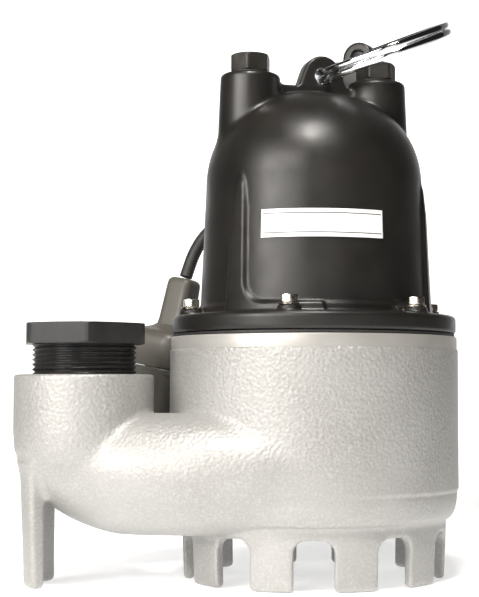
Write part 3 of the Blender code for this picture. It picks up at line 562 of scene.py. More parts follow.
def chrome():
    look = Look("chrome", (0.88, 0.89, 0.91), 0.05, 1.0)
    return look.rough(look.noise(300), 0.03, 0.10).bump(look.noise(160, detail=2.0), 0.00003, 0.3)


def blackened_iron():
    look = Look("blackened_iron", (0.022, 0.021, 0.019), 0.42, 0.25)
    look.tint(look.noise(140, detail=4.0), (0.055, 0.050, 0.043), 0.45, 0.8)
    return look.bump(look.noise(800, detail=3.0), 0.00006, 0.5).rough(look.noise(260), 0.34, 0.50)


def label_white():
    look = Look("label_white", (0.90, 0.90, 0.89), 0.32)
    look.tint(look.noise(60), (0.86, 0.86, 0.85))
    return look.bump(look.noise(900), 0.00001, 0.4)


def rubber():
    look = Look("black_rubber", (0.016, 0.016, 0.017), 0.52)
    look.tint(look.noise(160), (0.030, 0.029, 0.028))
    return look.bump(look.noise(900, detail=3.0), 0.00005, 0.5).rough(look.noise(200), 0.46, 0.60)


def bright_steel():
    look = Look("bright_steel", (0.60, 0.60, 0.61), 0.28, 1.0)
    lines = look.noise(60, detail=4.0, stretch=(1, 1, 30))
    return look.rough(lines, 0.20, 0.36).bump(lines, 0.00002, 0.4)


def cast_iron():
    look = Look("cast_iron", (0.20, 0.195, 0.19), 0.6, 0.7)
    look.tint(look.noise(90, detail=4.0), (0.30, 0.28, 0.26))
    return look.bump(look.noise(700, detail=4.0), 0.00018, 0.6).rough(look.noise(200), 0.5, 0.7)


def copper():
    look = Look("copper_wire", (0.66, 0.30, 0.14), 0.32, 1.0)
    look.tint(look.noise(200), (0.48, 0.18, 0.08))
    return look.bump(look.noise(90, detail=2.0, stretch=(6, 6, 18)), 0.0003, 0.7)


def ceramic():
    look = Look("ceramic", (0.84, 0.82, 0.78), 0.22)
    return look.bump(look.noise(800), 0.00001, 0.4).tint(look.noise(60), (0.80, 0.77, 0.72))


def brass():
    look = Look("brass", (0.76, 0.56, 0.24), 0.26, 1.0)
    return look.rough(look.noise(240), 0.2, 0.34).tint(look.noise(140), (0.66, 0.46, 0.18))


def cream_plastic():
    look = Look("cream_plastic", (0.66, 0.62, 0.52), 0.45)
    return look.tint(look.noise(100), (0.60, 0.56, 0.46)).bump(look.noise(900), 0.00003, 0.5)


def float_plastic():
    look = Look("float_plastic", (0.078, 0.073, 0.062), 0.42)
    look.tint(look.noise(70, detail=3.0), (0.100, 0.095, 0.082))
    return look.bump(look.noise(700, detail=3.0), 0.00006, 0.5).rough(look.noise(140), 0.36, 0.5)


def glowing_floor():
    """White paper that glows as painted light: a pool of light around the pump's feet, and the glow of a
    backdrop behind that fades outwards.
    """
    look = Look("glowing_floor", (0.92, 0.92, 0.92), 0.8)
    total = look.tree.nodes.new("ShaderNodeMath")
    total.operation = "ADD"
    # A glow's centre, its strength inside and outside, and the two radii that it fades between.
    backdrop = ((0.0, 1.9, 0.35), 0.95, 0.02, 0.9, 1.5)
    # feet is a painted pool of light: an emission that also brightens the pump's feet and belly from below.
    feet = ((0.0, 0.0, 0.0), 0.50, 0.0, 0.20, 0.9)
    for i, (center, strong, weak, near, far) in enumerate((backdrop, feet)):
        away = look.tree.nodes.new("ShaderNodeVectorMath")
        away.operation = "DISTANCE"
        away.inputs[1].default_value = center
        look.tree.links.new(look.place, away.inputs[0])
        look.tree.links.new(look.ramp(away.outputs["Value"], strong, weak, near, far), total.inputs[i])
    look.shader.inputs["Emission Color"].default_value = (1, 1, 1, 1)
    look.tree.links.new(total.outputs["Value"], look.shader.inputs["Emission Strength"])
    return look


SILVER = hammered_silver().material
BAND = machined_silver().material
BLACK = black_enamel().material
MOULDED = moulded_black().material
NICKEL = nickel().material
CHROME = chrome().material
IRON_BLACK = blackened_iron().material
LABEL = label_white().material
RUBBER = rubber().material
STEEL = bright_steel().material
IRON = cast_iron().material
COPPER = copper().material
CERAMIC = ceramic().material
BRASS = brass().material
CREAM = cream_plastic().material
FLOAT = float_plastic().material
FLOOR = glowing_floor().material

SLOT_LOOKS = {
    "silver_paint": SILVER,
    "black_paint": BLACK,
    "black_bushing": MOULDED,
    "nickel_steel": NICKEL,
    "chrome": CHROME,
    "plug_iron": IRON_BLACK,
    "label_white": LABEL,
    "black_rubber": RUBBER,
    "bright_steel": STEEL,
    "cast_iron": IRON,
    "copper_wire": COPPER,
    "ceramic": CERAMIC,
    "brass": BRASS,
    "cream_plastic": CREAM,
    "float_plastic": FLOAT,
}


def dress_nodes():
    """Every CAD node gets its slot's material."""
    for part in frame["record"]["subparts"]:
        mesh = frame["nodes"][part["node"]].data
        mesh.materials.clear()
        mesh.materials.append(SLOT_LOOKS[part["material_slot"]])


def finish_piece(obj, body, slot, *nodes):
    """A piece rides a body and stands in for CAD nodes; the slot is not used."""
    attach(obj, body)
    if nodes:
        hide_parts(*nodes)


# ---- camera ----


def add_camera():
    data = bpy.data.cameras.new("camera")
    data.lens = CAMERA_LENS
    data.sensor_width = 36.0
    data.shift_x = CAMERA_SHIFT
    data.clip_end = 20.0
    camera = bpy.data.objects.new("camera", data)
    camera.location = (SHAFT + CAMERA_PLACE) * MM
    camera.rotation_euler = (CAMERA_PITCH, 0, 0)
    bpy.context.scene.collection.objects.link(camera)
    bpy.context.scene.camera = camera


# ---- float cord ----


def add_float_cord():
    """The float's cord bends between the gland and the float, with a tapered relief at the gland."""
    route = [p / MM for p in smooth_route(CORD_ROUTE, 0.0008)]
    cord = make_object("float_cord_jacket", *skin(tube_along(route, [CORD_R] * len(route))), RUBBER)
    relief_route = route[: len(route) // 3]
    last = len(relief_route) - 1
    radii = []
    for i in range(last + 1):
        groove = 0.35 if i % 4 == 2 and i < last - 2 else 0.0
        radii.append(RELIEF_R - (RELIEF_R - RELIEF_END_R) * i / last - groove)
    relief = make_object("float_cord_relief", *skin(tube_along(relief_route, radii)), RUBBER)
    for piece in (cord, relief):
        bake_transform(piece)
    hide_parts("float_cord")


# ---- volute casing ----


def tube_table():
    """The volute tube's centre and radius against X, from under the tower to the chamber's far side."""
    stations = [  # x, y and z of the centre, radius
        (-131.0, -27.0, 58.0, 4.0),
        (-129.0, -27.0, 57.0, 11.0),
        (-122.0, -27.5, 56.0, 18.5),
        (-114.0, -28.5, 55.0, 23.0),
        (-104.0, -30.0, 54.0, 26.5),
        (-92.0, -34.0, 52.0, 27.7),
        (-80.0, -37.8, 51.1, 27.6),
        (-66.0, -40.8, 51.0, 27.5),
        (-52.0, -42.8, 51.0, 27.5),
        (-36.0, -43.3, 51.0, 27.5),
        (-20.0, -43.3, 51.3, 26.8),
        (-4.0, -42.0, 52.0, 25.4),
        (12.0, -39.0, 52.5, 23.2),
        (28.0, -34.0, 52.5, 20.5),
        (40.0, -27.0, 52.5, 17.0),
    ]
    xs, ys, zs = np.array(smooth_route([station[:3] for station in stations], 1.0)).T
    widths = np.array(smooth_route([(station[0], station[3], 0) for station in stations], 1.0))
    return xs, ys, zs, np.interp(xs, widths[:, 0], widths[:, 1])


def tube_field():
    """The volute tube; shrink narrows it to the waterway inside."""
    xs, ys, zs, radii = tube_table()
    slope_y = np.gradient(ys, xs)
    slope_r = np.clip(np.gradient(radii, xs), -1.5, 1.5)
    steepness = np.sqrt(1 + slope_y**2 + slope_r**2)

    def distance(x, y, z, shrink=0.0):
        away = np.hypot(y - np.interp(x, xs, ys), z - np.interp(x, xs, zs))
        side = (away - np.interp(x, xs, radii) + shrink) / np.interp(x, xs, steepness)
        return np.maximum(side, np.maximum(xs[0] + shrink - x, x - xs[-1] + shrink))

    return distance


def finger_field():
    """The case wall, which runs down into a hoop that the slots cut into fingers."""
    belly = [(63.4 + 4.9 * math.sin(t), 41.7 - 13.2 * math.cos(t)) for t in np.radians(range(0, 91, 10))]
    foot = [(0, -20.0), (61.0, -20.0), (62.9, 27.0)]
    body = lathe(foot + belly + [(CASE_R, 42.3), (CASE_R, BAND_LOW), (0, BAND_LOW)])
    recess = lathe([(0, -30.0), (56.2, -30.0), (57.5, 24.0), (53.5, 28.0), (0, 28.0)])
    slot_top = arc(3.2, 17.2, 5.8, 0, 90, 8) + arc(-3.2, 17.2, 5.8, 90, 180, 8)
    slot = outline([(-9.0, -30.0), (9.0, -30.0)] + slot_top)

    def distance(x, y, z):
        around, out = fold(x, y, FOOT_COUNT, 0.0)
        hoop = smooth_max(body(x, y, z), -recess(x, y, z), 2.0)
        return smooth_max(hoop, -np.maximum(slot(around, z), 46.0 - out), 1.6)

    return distance


def tower_field():
    """The discharge tower, round below and with an eased top edge, about its own axis."""
    elbow = [(0, 34.0)] + arc(0, 62.0, 28.0, -72, -25, 8) + [(29.6, 56.5), (31.4, 62.0), (TOWER_R, 70.0)]
    shoulder = TOWER_TOP - TOWER_EDGE
    rim = arc(TOWER_R - TOWER_EDGE, shoulder, TOWER_EDGE, 15, 90, 3)
    return lathe(elbow + [(TOWER_R, shoulder)] + rim + [(0, TOWER_TOP)])


def leg_distance(x, y, z):
    """The leg: part of a ring about the tower's axis, on the side away from the chamber."""
    ring = np.hypot(x, y)
    outer = 26.4 + 0.04 * np.clip(z, 0, 50)
    side = np.clip(np.abs(np.arctan2(y, -x)) - LEG_HALF_ANGLE, -1.2, 1.2)
    wall = np.maximum(ring - outer, LEG_INNER_R - ring)
    return np.maximum(smooth_max(wall, ring * np.sin(side), 2.4), z - LEG_TOP)


def casing_field():
    """The whole casting, hollowed by its waterways."""
    fingers = finger_field()
    tube = tube_field()
    tower = tower_field()
    chamber_floor = [(0, 36.0), (50.0, 36.0), (CHAMBER_R, 38.0)]
    upper_bore = [(CHAMBER_R, 77.0), (UPPER_BORE_R, 77.0), (UPPER_BORE_R, 125.0), (0, 125.0)]
    chamber = lathe(chamber_floor + upper_bore)
    suction_eye = lathe([(0, 10.0), (24.0, 10.0), (24.0, 46.0), (0, 46.0)])
    bore_foot = [(0, 40.0), (10.0, 42.0), (18.0, 48.0), (21.0, 56.0)]
    bore = lathe(bore_foot + [(21.0, 72.0), (24.3, 72.0), (24.3, 110.0), (0, 110.0)])

    def distance(x, y, z):
        tx, ty = x - TOWER_XY[0], y - TOWER_XY[1]
        whole = smooth_min(fingers(x, y, z), tube(x, y, z), 2.6)
        whole = smooth_min(whole, tower(tx, ty, z), 3.0)
        whole = smooth_min(whole, leg_distance(tx, ty, z), 5.0)
        whole = smooth_max(whole, -z, 2.6)
        inner = smooth_min(chamber(x, y, z), tube(x, y, z, TUBE_WALL), 5.0)
        inner = smooth_min(np.minimum(inner, suction_eye(x, y, z)), bore(tx, ty, z), 3.0)
        return smooth_max(whole, -inner, 1.2)

    return distance


def add_casing():
    step = 1.0
    low, high = (-142.0, -75.0, -3.0), (73.0, 73.0, 112.0)
    casing = cast("volute_casing_cast", casing_field(), low, high, step, SILVER)
    fingers = [f"foot_finger_{i + 1}" for i in range(FOOT_COUNT)]
    nodes = ["volute_casing", "discharge_tower", "discharge_leg", "suction_plate", *fingers]
    finish_piece(casing, "pump_body", "silver_paint", *nodes)
    profile = [(UPPER_BORE_R, BAND_LOW - 0.3), (BAND_R, BAND_LOW - 0.3), (BAND_R, CASE_TOP - 0.7)]
    profile += [(BAND_R - 0.2, CASE_TOP - 0.2), (BAND_R - 0.7, CASE_TOP), (UPPER_BORE_R, CASE_TOP)]
    band = make_object("volute_casing_band", *skin(turned(profile, (0, 0), 192), True), BAND, 25.0)
    finish_piece(band, "pump_body", "silver_paint")


# ---- discharge bushing ----


def apothem(corner_radius):
    """Half a hexagon's width across its flats."""
    return corner_radius * math.cos(math.pi / 6)


def hex_radius(angle, half_width, turn, corner):
    """The distance out to a hexagon whose corners are eased."""
    sixth = math.pi / 3
    folded = (angle - turn) % sixth - sixth / 2
    sharp = half_width / math.cos(folded)
    ease = corner * max(0.0, abs(folded) / (sixth / 2) - 0.9) / 0.1
    return sharp - ease


def hex_rings(center, half_width, turn, levels, corner, segments=144):
    """Rings of a hexagonal head whose round chamfer keeps each level inside a radius."""
    rings = []
    for limit, z in levels:
        ring = []
        for i in range(segments):
            angle = turn + 2 * math.pi * i / segments
            radius = min(hex_radius(angle, half_width, turn, corner), limit)
            ring.append((center[0] + radius * math.cos(angle), center[1] + radius * math.sin(angle), z))
        rings.append(ring)
    return rings


def thread_radius(turn, rise):
    """The thread's radius at an angle and a height over its lower end, where it has a lead-in."""
    phase = ((BUSHING_THREAD_LOW + rise) / THREAD_PITCH - turn / (2 * math.pi)) % 1.0
    groove = 1.45 * (1 - abs(2 * phase - 1))
    lead = 0.9 * max(0.0, 1.2 - rise)
    return THREAD_R - min(max(groove, 0.12), 1.32) - lead


def add_thread():
    """The threaded stub: a helical pipe thread outside and a plain bore."""
    turns = full_turn(144)
    high = BUSHING_HEX_Z + 0.2
    rings = [circle(TOWER_XY, BUSHING_BORE_R, BUSHING_THREAD_LOW, turns)]
    for z in np.arange(BUSHING_THREAD_LOW, high, THREAD_PITCH / THREAD_ROWS):
        ring = []
        for t in turns:
            radius = thread_radius(t, z - BUSHING_THREAD_LOW)
            ring.append((TOWER_XY[0] + radius * math.cos(t), TOWER_XY[1] + radius * math.sin(t), z))
        rings.append(ring)
    rings += [circle(TOWER_XY, BUSHING_BORE_R, z, turns) for z in (high, BUSHING_TOP - 1.0)]
    thread = make_object("discharge_bushing_thread", *skin(rings, True), MOULDED, 60.0)
    finish_piece(thread, "pump_body", "black_bushing")


def add_bushing_head():
    """The bushing's hexagonal head, chamfered to a circle above and below."""
    low, top, bore = BUSHING_HEX_Z, BUSHING_TOP, BUSHING_BORE_R
    levels = [(22.6, low), (29.6, low), (30.5, low + 0.5), (31.0, low + 0.9)]
    levels += [(31.0, z) for z in np.linspace(low + 2.0, top - 2.2, 5)]
    levels += [(31.0, top - 1.0), (30.5, top - 0.6), (29.8, top - 0.3), (29.0, top - 0.1), (26.0, top)]
    levels += [(bore + 1.0, top), (bore, top - 0.9), (bore, low)]
    rings = hex_rings(TOWER_XY, apothem(BUSHING_HEX_R), BUSHING_HEX_TURN, levels, 0.5)
    head = make_object("discharge_bushing_head", *skin(rings, True), MOULDED, 24.0)
    finish_piece(head, "pump_body", "black_bushing", "discharge_bushing")


# ---- motor housing ----


def dome_profile(radius, rise, base, steps):
    """A dome a little fuller than an ellipse, between its foot and its crown."""
    fullness = 2.2
    profile = []
    for i in range(1, steps):
        r = radius * math.cos(math.pi / 2 * i / steps)
        profile.append((r, base + rise * (1 - (r / radius) ** fullness) ** (1 / fullness)))
    return profile


def body_radius(z):
    """The housing's side tapers from the flange to the dome."""
    return 54.5 - 2.5 * (z - 129.0) / (DOME_Z - 129.0)


def oil_tower_xy(side):
    out = side * OIL_TOWER_RADIUS
    return out * math.cos(TOWER_LINE), out * math.sin(TOWER_LINE)


def ring_axis():
    flat = math.cos(EYE_TILT)
    return Vector((-math.sin(TOWER_LINE) * flat, math.cos(TOWER_LINE) * flat, math.sin(EYE_TILT)))


def eye_outline(radius, foot_half, foot_z):
    """A lug's outline about its hole: an arch with straight sides down to its foot."""
    tangent = math.degrees(math.asin(radius / math.hypot(foot_half, foot_z)))
    lean = math.degrees(math.atan2(foot_half, -foot_z)) - tangent
    return [(foot_half, foot_z)] + arc(0, 0, radius, lean, 180 - lean, 24) + [(-foot_half, foot_z)]


def turned_plane(x, y, center, turn):
    """Distances along and across an upright plane through a point."""
    px, py = x - center[0], y - center[1]
    return px * math.cos(turn) + py * math.sin(turn), py * math.cos(turn) - px * math.sin(turn)


def body_field():
    """The housing's body: spigot, flange, a hollow root, the tapered side and the dome."""
    spigot_r = UPPER_BORE_R - 0.4
    outer = [(0, 109.0), (spigot_r, 109.0), (spigot_r, FLANGE_BOTTOM)]
    outer += arc(FLANGE_R - 1.3, FLANGE_BOTTOM + 1.3, 1.3, -90, 0, 5)
    outer += arc(FLANGE_R - 2.2, FLANGE_TOP - 2.2, 2.2, 0, 90, 6)
    outer += arc(57.8, FLANGE_TOP + 2.0, 2.0, -90, -180, 4) + [(55.8, 127.4), (54.9, 128.6)]
    outer += [(body_radius(z), z) for z in (129.4, DOME_Z)]
    return lathe(outer + dome_profile(DOME_R, DOME_RISE, DOME_Z, 40) + [(0, DOME_Z + DOME_RISE)])


def inside_field():
    """The motor's room under the dome, with the upper bearing's seat standing down from the crown."""
    wall = [(0, 100.0), (MOTOR_ROOM_R, 100.0), (MOTOR_ROOM_R, 188.0)]
    room = lathe(wall + dome_profile(MOTOR_ROOM_R, 38.0, 188.0, 20) + [(0, 226.0)])
    seat = lathe([(0, 197.6), (21.0, 197.6), (21.0, 240.0), (0, 240.0)])
    bearing = lathe([(0, 190.0), (16.3, 190.0), (16.3, 209.0), (9.0, 211.0), (0, 211.0)])
    cable_bore = rod_field(POWER_INLET, (0, 1, 0), 4.6, 30.0, 62.0)

    def distance(x, y, z):
        inner = np.minimum(np.maximum(room(x, y, z), -seat(x, y, z)), bearing(x, y, z))
        return np.minimum(inner, cable_bore(x, y, z))

    return distance


def rib_field():
    """Three upright ribs, each with a foot that sweeps along the flange."""
    left = [(-5.8, 118.0), (-5.2, 140.0), (-3.2, 172.0), (-1.6, 184.0)]
    right = [(0.4, 189.0), (2.6, 184.0), (4.2, 172.0), (5.2, 140.0)]
    sweep = arc(16.0, 139.0, 10.8, 180, 270, 8) + [(60.0, 128.2), (60.0, 118.0)]
    shape = outline(left + right + sweep)
    foot = [(0, 118.0), (57.6, 118.0), (body_radius(128) + 1.9, 128.0)]
    crest = [(body_radius(172) + 1.7, 172.0), (body_radius(184) + 0.9, 184.0), (44.0, 205.0), (0, 205.0)]
    envelope = lathe(foot + crest)

    def distance(x, y, z):
        around, out = fold(x, y, 3, RIB_TURN)
        return np.maximum(smooth_max(shape(around, z), envelope(x, y, z), 1.2), 40.0 - out)

    return distance


def boss_distance(x, y, z):
    """The six bolt bosses on the flange."""
    around, out = fold(x, y, 6, BOLT_TURN)
    boss = smooth_max(np.hypot(around, out - BOLT_CIRCLE_R) - BOSS_R, z - BOSS_TOP, 1.0)
    return np.maximum(boss, BOSS_FOOT - z)


def housing_field():
    """The whole housing, hollowed for the motor, its upper bearing and the power cord."""
    body, inside, ribs = body_field(), inside_field(), rib_field()
    shoulder = OIL_TOWER_TOP - 2.2
    tower_side = [(0, 185.0), (16.4, 185.0), (14.3, shoulder)]
    oil_tower = lathe(tower_side + arc(12.1, shoulder, 2.2, 10, 90, 6) + [(0, OIL_TOWER_TOP)])
    ridge_outline = [(-26.0, 205.0), (26.0, 205.0), (26.0, RIDGE_TOP), (-26.0, RIDGE_TOP)]
    ridge = plate(outline(ridge_outline), 4.7, 1.3)
    eye = plate(outline(eye_outline(9.4, 12.4, -6.5)), 4.7, 1.1)
    tall_eye = plate(outline(eye_outline(8.3, 10.8, -40.0)), 4.0, 1.1)
    eye_hole = rod_field(EYE_HOLE, ring_axis(), 3.9, -14, 14)
    tall_direction = (-math.sin(TALL_EYE_YAW), math.cos(TALL_EYE_YAW), 0)
    tall_hole = rod_field(TALL_EYE, tall_direction, 3.6, -14, 14)
    float_boss = rod_field(GLAND_FACE, GLAND_DIRECTION, 8.0, -20.0, 0.0)
    power_boss = rod_field(POWER_INLET, (0, 1, 0), 10.5, 40.0, 58.0)

    def distance(x, y, z):
        whole = smooth_min(body(x, y, z), ribs(x, y, z), 1.6)
        whole = smooth_min(whole, boss_distance(x, y, z), 1.4)
        for side in (-1, 1):
            cx, cy = oil_tower_xy(side)
            whole = smooth_min(whole, oil_tower(x - cx, y - cy, z), 2.4)
        s, u = turned_plane(x, y, (0, 0), TOWER_LINE)
        whole = smooth_min(whole, ridge(s, z, u), 2.0)
        s, u = turned_plane(x, y, EYE_HOLE, TOWER_LINE)
        whole = smooth_min(whole, eye(s, z - EYE_HOLE.z, u), 1.6)
        s, u = turned_plane(x, y, TALL_EYE, TALL_EYE_YAW)
        whole = smooth_min(whole, tall_eye(s, z - TALL_EYE.z, u), 2.0)
        whole = smooth_min(whole, float_boss(x, y, z), 3.0)
        whole = smooth_min(whole, power_boss(x, y, z), 3.0)
        whole = smooth_max(whole, -smooth_min(eye_hole(x, y, z), tall_hole(x, y, z), 0.5), 0.9)
        return smooth_max(whole, -inside(x, y, z), 0.8)

    return distance


def add_housing():
    step = 0.9
    low, high = (-71.0, -71.0, 106.0), (71.0, 71.0, 266.0)
    housing = cast("motor_housing_cast", housing_field(), low, high, step, BLACK)
    finish_piece(housing, "pump_body", "black_paint", "motor_housing")


# ---- fasteners, plugs, label ----


def add_flange_bolts():
    shank_r, head_top = 2.4, 131.3
    levels = [(shank_r, 104.0), (shank_r, 127.4), (3.4, 127.55), (3.9, 127.8), (4.15, 128.1), (4.2, 130.5)]
    levels += [(4.0, 130.9), (3.6, head_top - 0.1), (3.0, head_top), (0.02, head_top)]
    washer_profile = [(2.5, 126.6), (4.5, 126.6), (4.7, 126.8), (4.7, 127.2), (4.5, 127.45), (2.5, 127.45)]
    for index in range(6):
        degrees = BOLT_TURN + 60 * index
        center = from_front(BOLT_CIRCLE_R, degrees)
        rings = hex_rings(center, 3.6, math.radians(2 * degrees), levels, 0.08, 96)
        head = make_object(f"flange_bolt_head_{index + 1}", *skin(rings), NICKEL, 22.0)
        finish_piece(head, "pump_body", "nickel_steel", f"flange_bolt_{index + 1}")
        rings = turned(washer_profile, center, 64)
        washer = make_object(f"flange_washer_ring_{index + 1}", *skin(rings, True), NICKEL, 30.0)
        finish_piece(washer, "pump_body", "nickel_steel")


def add_oil_plugs():
    seat, top = 240.9, 249.3
    levels = [(8.0, 229.0), (8.0, seat), (9.4, 240.95), (9.9, 241.3), (10.1, 241.8), (10.1, 243.5)]
    levels += [(10.1, 245.5), (10.1, 247.4), (9.9, 248.2), (9.4, 248.8)]
    levels += [(8.6, top - 0.1), (7.6, top), (0.02, top)]
    for name, side, degrees in (("left", -1, -96.0), ("right", 1, -111.0)):
        rings = hex_rings(oil_tower_xy(side), apothem(OIL_PLUG_HEX_R), math.radians(degrees), levels, 0.2)
        plug = make_object(f"oil_plug_{name}_head", *skin(rings), IRON_BLACK, 22.0)
        finish_piece(plug, "pump_body", "plug_iron", f"oil_plug_{name}")


def curved_strip(name, low, high, start, end, inner, outer, look):
    """A strip bent round the housing's side, between two heights and two angles from the front."""
    rings = []
    for degrees in np.linspace(start, end, 60):
        ring = []
        for z, lift in ((low, inner), (high, inner), (high, outer), (low, outer)):
            x, y = from_front(body_radius(z) + lift, degrees)
            ring.append((x, y, z))
        rings.append(ring)
    return make_object(name, *skin(rings), look, 30.0)


def add_label():
    """A blank plate with a plain ruled line along each long edge."""
    plate_piece = curved_strip("label_plate_face", 157.6, 170.4, -26.4, 35.4, 0.1, 0.75, LABEL)
    finish_piece(plate_piece, "pump_body", "label_white", "label_plate")
    for name, z in (("low", 159.4), ("high", 168.2)):
        line = curved_strip(f"label_line_{name}", z, z + 0.4, -25.6, 34.6, 0.7, 0.80, RUBBER)
        finish_piece(line, "pump_body", "label_white")


# ---- lifting ring ----


def add_lift_ring():
    """A split ring: one wire wound twice, crossing from the lower coil to the upper at its far side."""
    axis = ring_axis()
    level = Vector((math.cos(TOWER_LINE), math.sin(TOWER_LINE), 0))
    rise = level.cross(axis)
    outward = math.cos(RING_LIFT) * level + math.sin(RING_LIFT) * rise
    normal = outward.cross(axis)
    center = EYE_HOLE + RING_R * outward
    steps, sides = 420, 20
    start, cross_half = math.radians(15), math.radians(11)
    rings = []
    for i in range(steps + 1):
        turn = start + (4 * math.pi - 2 * start) * i / steps
        crossed = min(1.0, max(0.0, (turn - 2 * math.pi + cross_half) / (2 * cross_half)))
        height = RING_COIL_STEP * (crossed * crossed * (3 - 2 * crossed) - 0.5)
        swing = turn + math.pi / 2
        spoke = -math.cos(swing) * outward + math.sin(swing) * axis
        middle = center + RING_R * spoke + height * normal
        wire = RING_WIRE_R * min(1.0, 0.55 + 0.15 * min(i, steps - i))  # narrowed at the wire's two ends
        section = []
        for a in full_turn(sides):
            squareness = (abs(math.cos(a)) ** 3 + abs(math.sin(a)) ** 3) ** (-1 / 3)
            radius = min(wire * squareness, RING_WIRE_R * 1.12)
            section.append(middle + radius * (math.cos(a) * spoke + math.sin(a) * normal))
        rings.append(section)
    wire_piece = make_object("lift_ring_wire", *skin(rings), CHROME, 50.0)
    finish_piece(wire_piece, "lift_ring", "chrome", "lift_ring")


# ---- glands and float ----


def add_gland(name, pose, corner_radius, bore, levels, node):
    """A gland nut: a hexagon with a round collar and a bore, on the housing."""
    bore_levels = [(bore, levels[-1][1]), (bore, levels[0][1])]
    rings = hex_rings((0, 0), apothem(corner_radius), 0.0, levels + bore_levels, 0.3, 96)
    points, faces = skin(rings, True)
    piece = make_object(name, transform(points, pose), faces, RUBBER, 25.0)
    finish_piece(piece, "pump_body", "black_rubber", node)


def add_glands():
    levels = [(6.4, 0.3), (7.4, 0.3), (7.9, 0.9), (7.9, 5.2), (7.4, 5.8), (6.5, 6.1), (6.2, 8.0), (5.7, 8.5)]
    pose = along(GLAND_FACE, GLAND_DIRECTION)
    add_gland("float_gland_cap", pose, 8.0, CORD_R + 0.3, levels, "float_gland_nut")
    levels = [(9.0, 58.3), (9.8, 58.3), (10.3, 59.0), (10.3, 63.2)]
    levels += [(9.6, 63.9), (8.5, 64.2), (8.2, 66.0), (7.7, 66.5)]
    pose = along(POWER_INLET, (0, 1, 0))
    add_gland("power_gland_cap", pose, 10.5, 4.4, levels, "power_gland_nut")


def float_pose():
    tilt = Matrix.Rotation(FLOAT_TILT, 4, "Y")
    yaw = Matrix.Rotation(FLOAT_YAW, 4, "Z")
    return Matrix.Translation(FLOAT_TOP) @ tilt @ yaw


def rounded_ring(width, depth, corner, z):
    """A level rectangle with round corners."""
    ring = []
    for quadrant, (sign_x, sign_y) in enumerate(((1, 1), (-1, 1), (-1, -1), (1, -1))):
        center_x, center_y = sign_x * (width / 2 - corner), sign_y * (depth / 2 - corner)
        for x, y in arc(center_x, center_y, corner, 90 * quadrant, 90 * quadrant + 90, 10):
            ring.append((x, y, z))
    return ring


def float_shell(name, levels, node):
    """A moulded shell through rounded rings: (distance down, width, depth, corner)."""
    rings = [rounded_ring(w, d, c, -down) for down, w, d, c in levels]
    points, faces = skin(rings)
    piece = make_object(name, transform(points, float_pose()), faces, FLOAT, 30.0)
    finish_piece(piece, "float_switch", "float_plastic", node)


def add_float():
    seam, low = FLOAT_SEAM, FLOAT_LENGTH
    neck = [(0.0, 9.6, 9.6, 2.6), (0.3, 11.2, 11.2, 3.0), (1.0, 12.8, 12.8, 3.4), (2.0, 13.8, 13.8, 3.6)]
    neck += [(4.0, 14.2, 14.2, 3.7), (22.0, 15.4, 15.4, 4.0), (24.6, 15.9, 16.4, 4.2)]
    shoulder = [(26.4, 18.6, 21.6, 4.8), (28.0, 24.0, 32.0, 6.2), (29.0, 27.4, 38.0, 7.0)]
    shoulder += [(30.4, 29.4, 41.6, 7.5), (32.4, 30.2, 43.4, 7.8)]
    rim = [(36.0, 30.4, 43.8, 8.0), (seam - 0.9, 30.4, 44.0, 8.0), (seam, 29.6, 43.2, 7.6)]
    float_shell("float_shell_upper", neck + shoulder + rim, "float_upper_shell")
    bead = [(seam + 0.3, 30.2, 43.8, 8.0), (seam + 0.8, 31.0, 44.6, 8.3), (seam + 2.8, 31.0, 44.6, 8.3)]
    side = [(seam + 3.4, 30.2, 43.8, 8.0), (seam + 4.0, 30.0, 43.6, 7.8), (low - 8.0, 29.2, 42.2, 7.5)]
    end = [(low - 4.6, 28.4, 41.4, 7.2), (low - 2.2, 26.8, 39.8, 6.8)]
    end += [(low - 0.8, 24.4, 37.4, 6.0), (low, 20.6, 33.6, 5.0)]
    float_shell("float_shell_lower", bead + side + end, "float_lower_shell")


# ---- stage ----


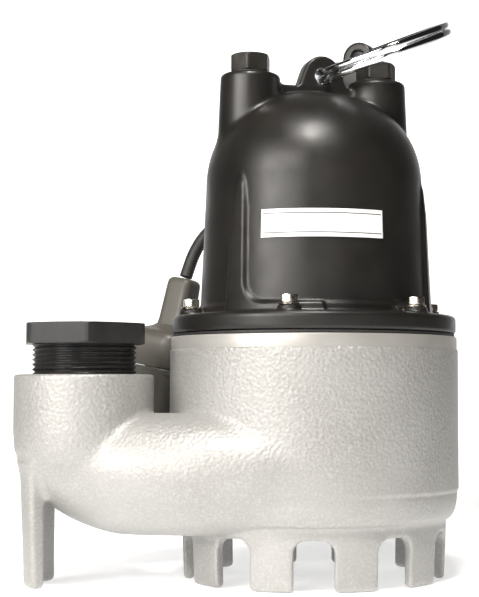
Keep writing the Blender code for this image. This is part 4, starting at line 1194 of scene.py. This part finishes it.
def add_floor():
    """A pale floor that curves up into a backdrop behind, in metres."""
    bend_y, bend_radius, half_width = 1.2, 0.8, 4.0
    profile = [(-2.5, 0.0), (bend_y, 0.0)]
    profile += arc(bend_y, bend_radius, bend_radius, -90, 0, 16) + [(bend_y + bend_radius, 4.0)]
    points, faces = [], []
    for y, z in profile:
        points += [(-half_width, y, z), (half_width, y, z)]
    for i in range(len(profile) - 1):
        faces.append((2 * i, 2 * i + 1, 2 * i + 3, 2 * i + 2))
    mesh = bpy.data.meshes.new("floor")
    mesh.from_pydata(points, [], faces)
    mesh.shade_smooth()
    mesh.materials.append(FLOOR)
    floor = bpy.data.objects.new("floor", mesh)
    bpy.context.scene.collection.objects.link(floor)


def add_light(name, offset, width, depth, power, diffuse=1.0, specular=1.0):
    """A warm area lamp, placed in metres from the shaft's foot and aimed at the pump's middle."""
    data = bpy.data.lights.new(name, "AREA")
    data.diffuse_factor = diffuse
    data.specular_factor = specular
    data.shape = "RECTANGLE"
    data.size = width
    data.size_y = depth
    data.energy = power
    data.color = (1.0, 0.965, 0.92)
    light = bpy.data.objects.new(name, data)
    light.location = SHAFT * MM + Vector(offset)
    middle = SHAFT * MM + Vector((0, 0, 0.13))
    light.rotation_euler = (middle - light.location).to_track_quat("-Z", "Y").to_euler()
    bpy.context.scene.collection.objects.link(light)


def add_lights():
    add_light("key", (-0.66, -1.60, 0.80), 0.60, 0.60, 9.2, specular=0.30)
    add_light("glint", (-0.80, -0.80, 0.50), 0.50, 0.50, 9.5, diffuse=0.15)
    add_light("top", (-0.03, -0.58, 1.12), 0.18, 0.15, 13.5, diffuse=0.30)
    add_light("fill", (0.30, -1.40, 0.16), 0.50, 0.50, 0.7, specular=0.3)
    world = bpy.data.worlds.new("studio")
    world.use_nodes = True
    world.node_tree.nodes["Background"].inputs["Color"].default_value = (1, 1, 1, 1)
    world.node_tree.nodes["Background"].inputs["Strength"].default_value = 0.015
    bpy.context.scene.world = world
    bpy.context.scene.view_settings.view_transform = "Standard"


add_camera()
add_float_cord()
dress_nodes()
add_casing()
add_thread()
add_bushing_head()
add_housing()
add_flange_bolts()
add_oil_plugs()
add_label()
add_lift_ring()
add_glands()
add_float()
add_floor()
add_lights()
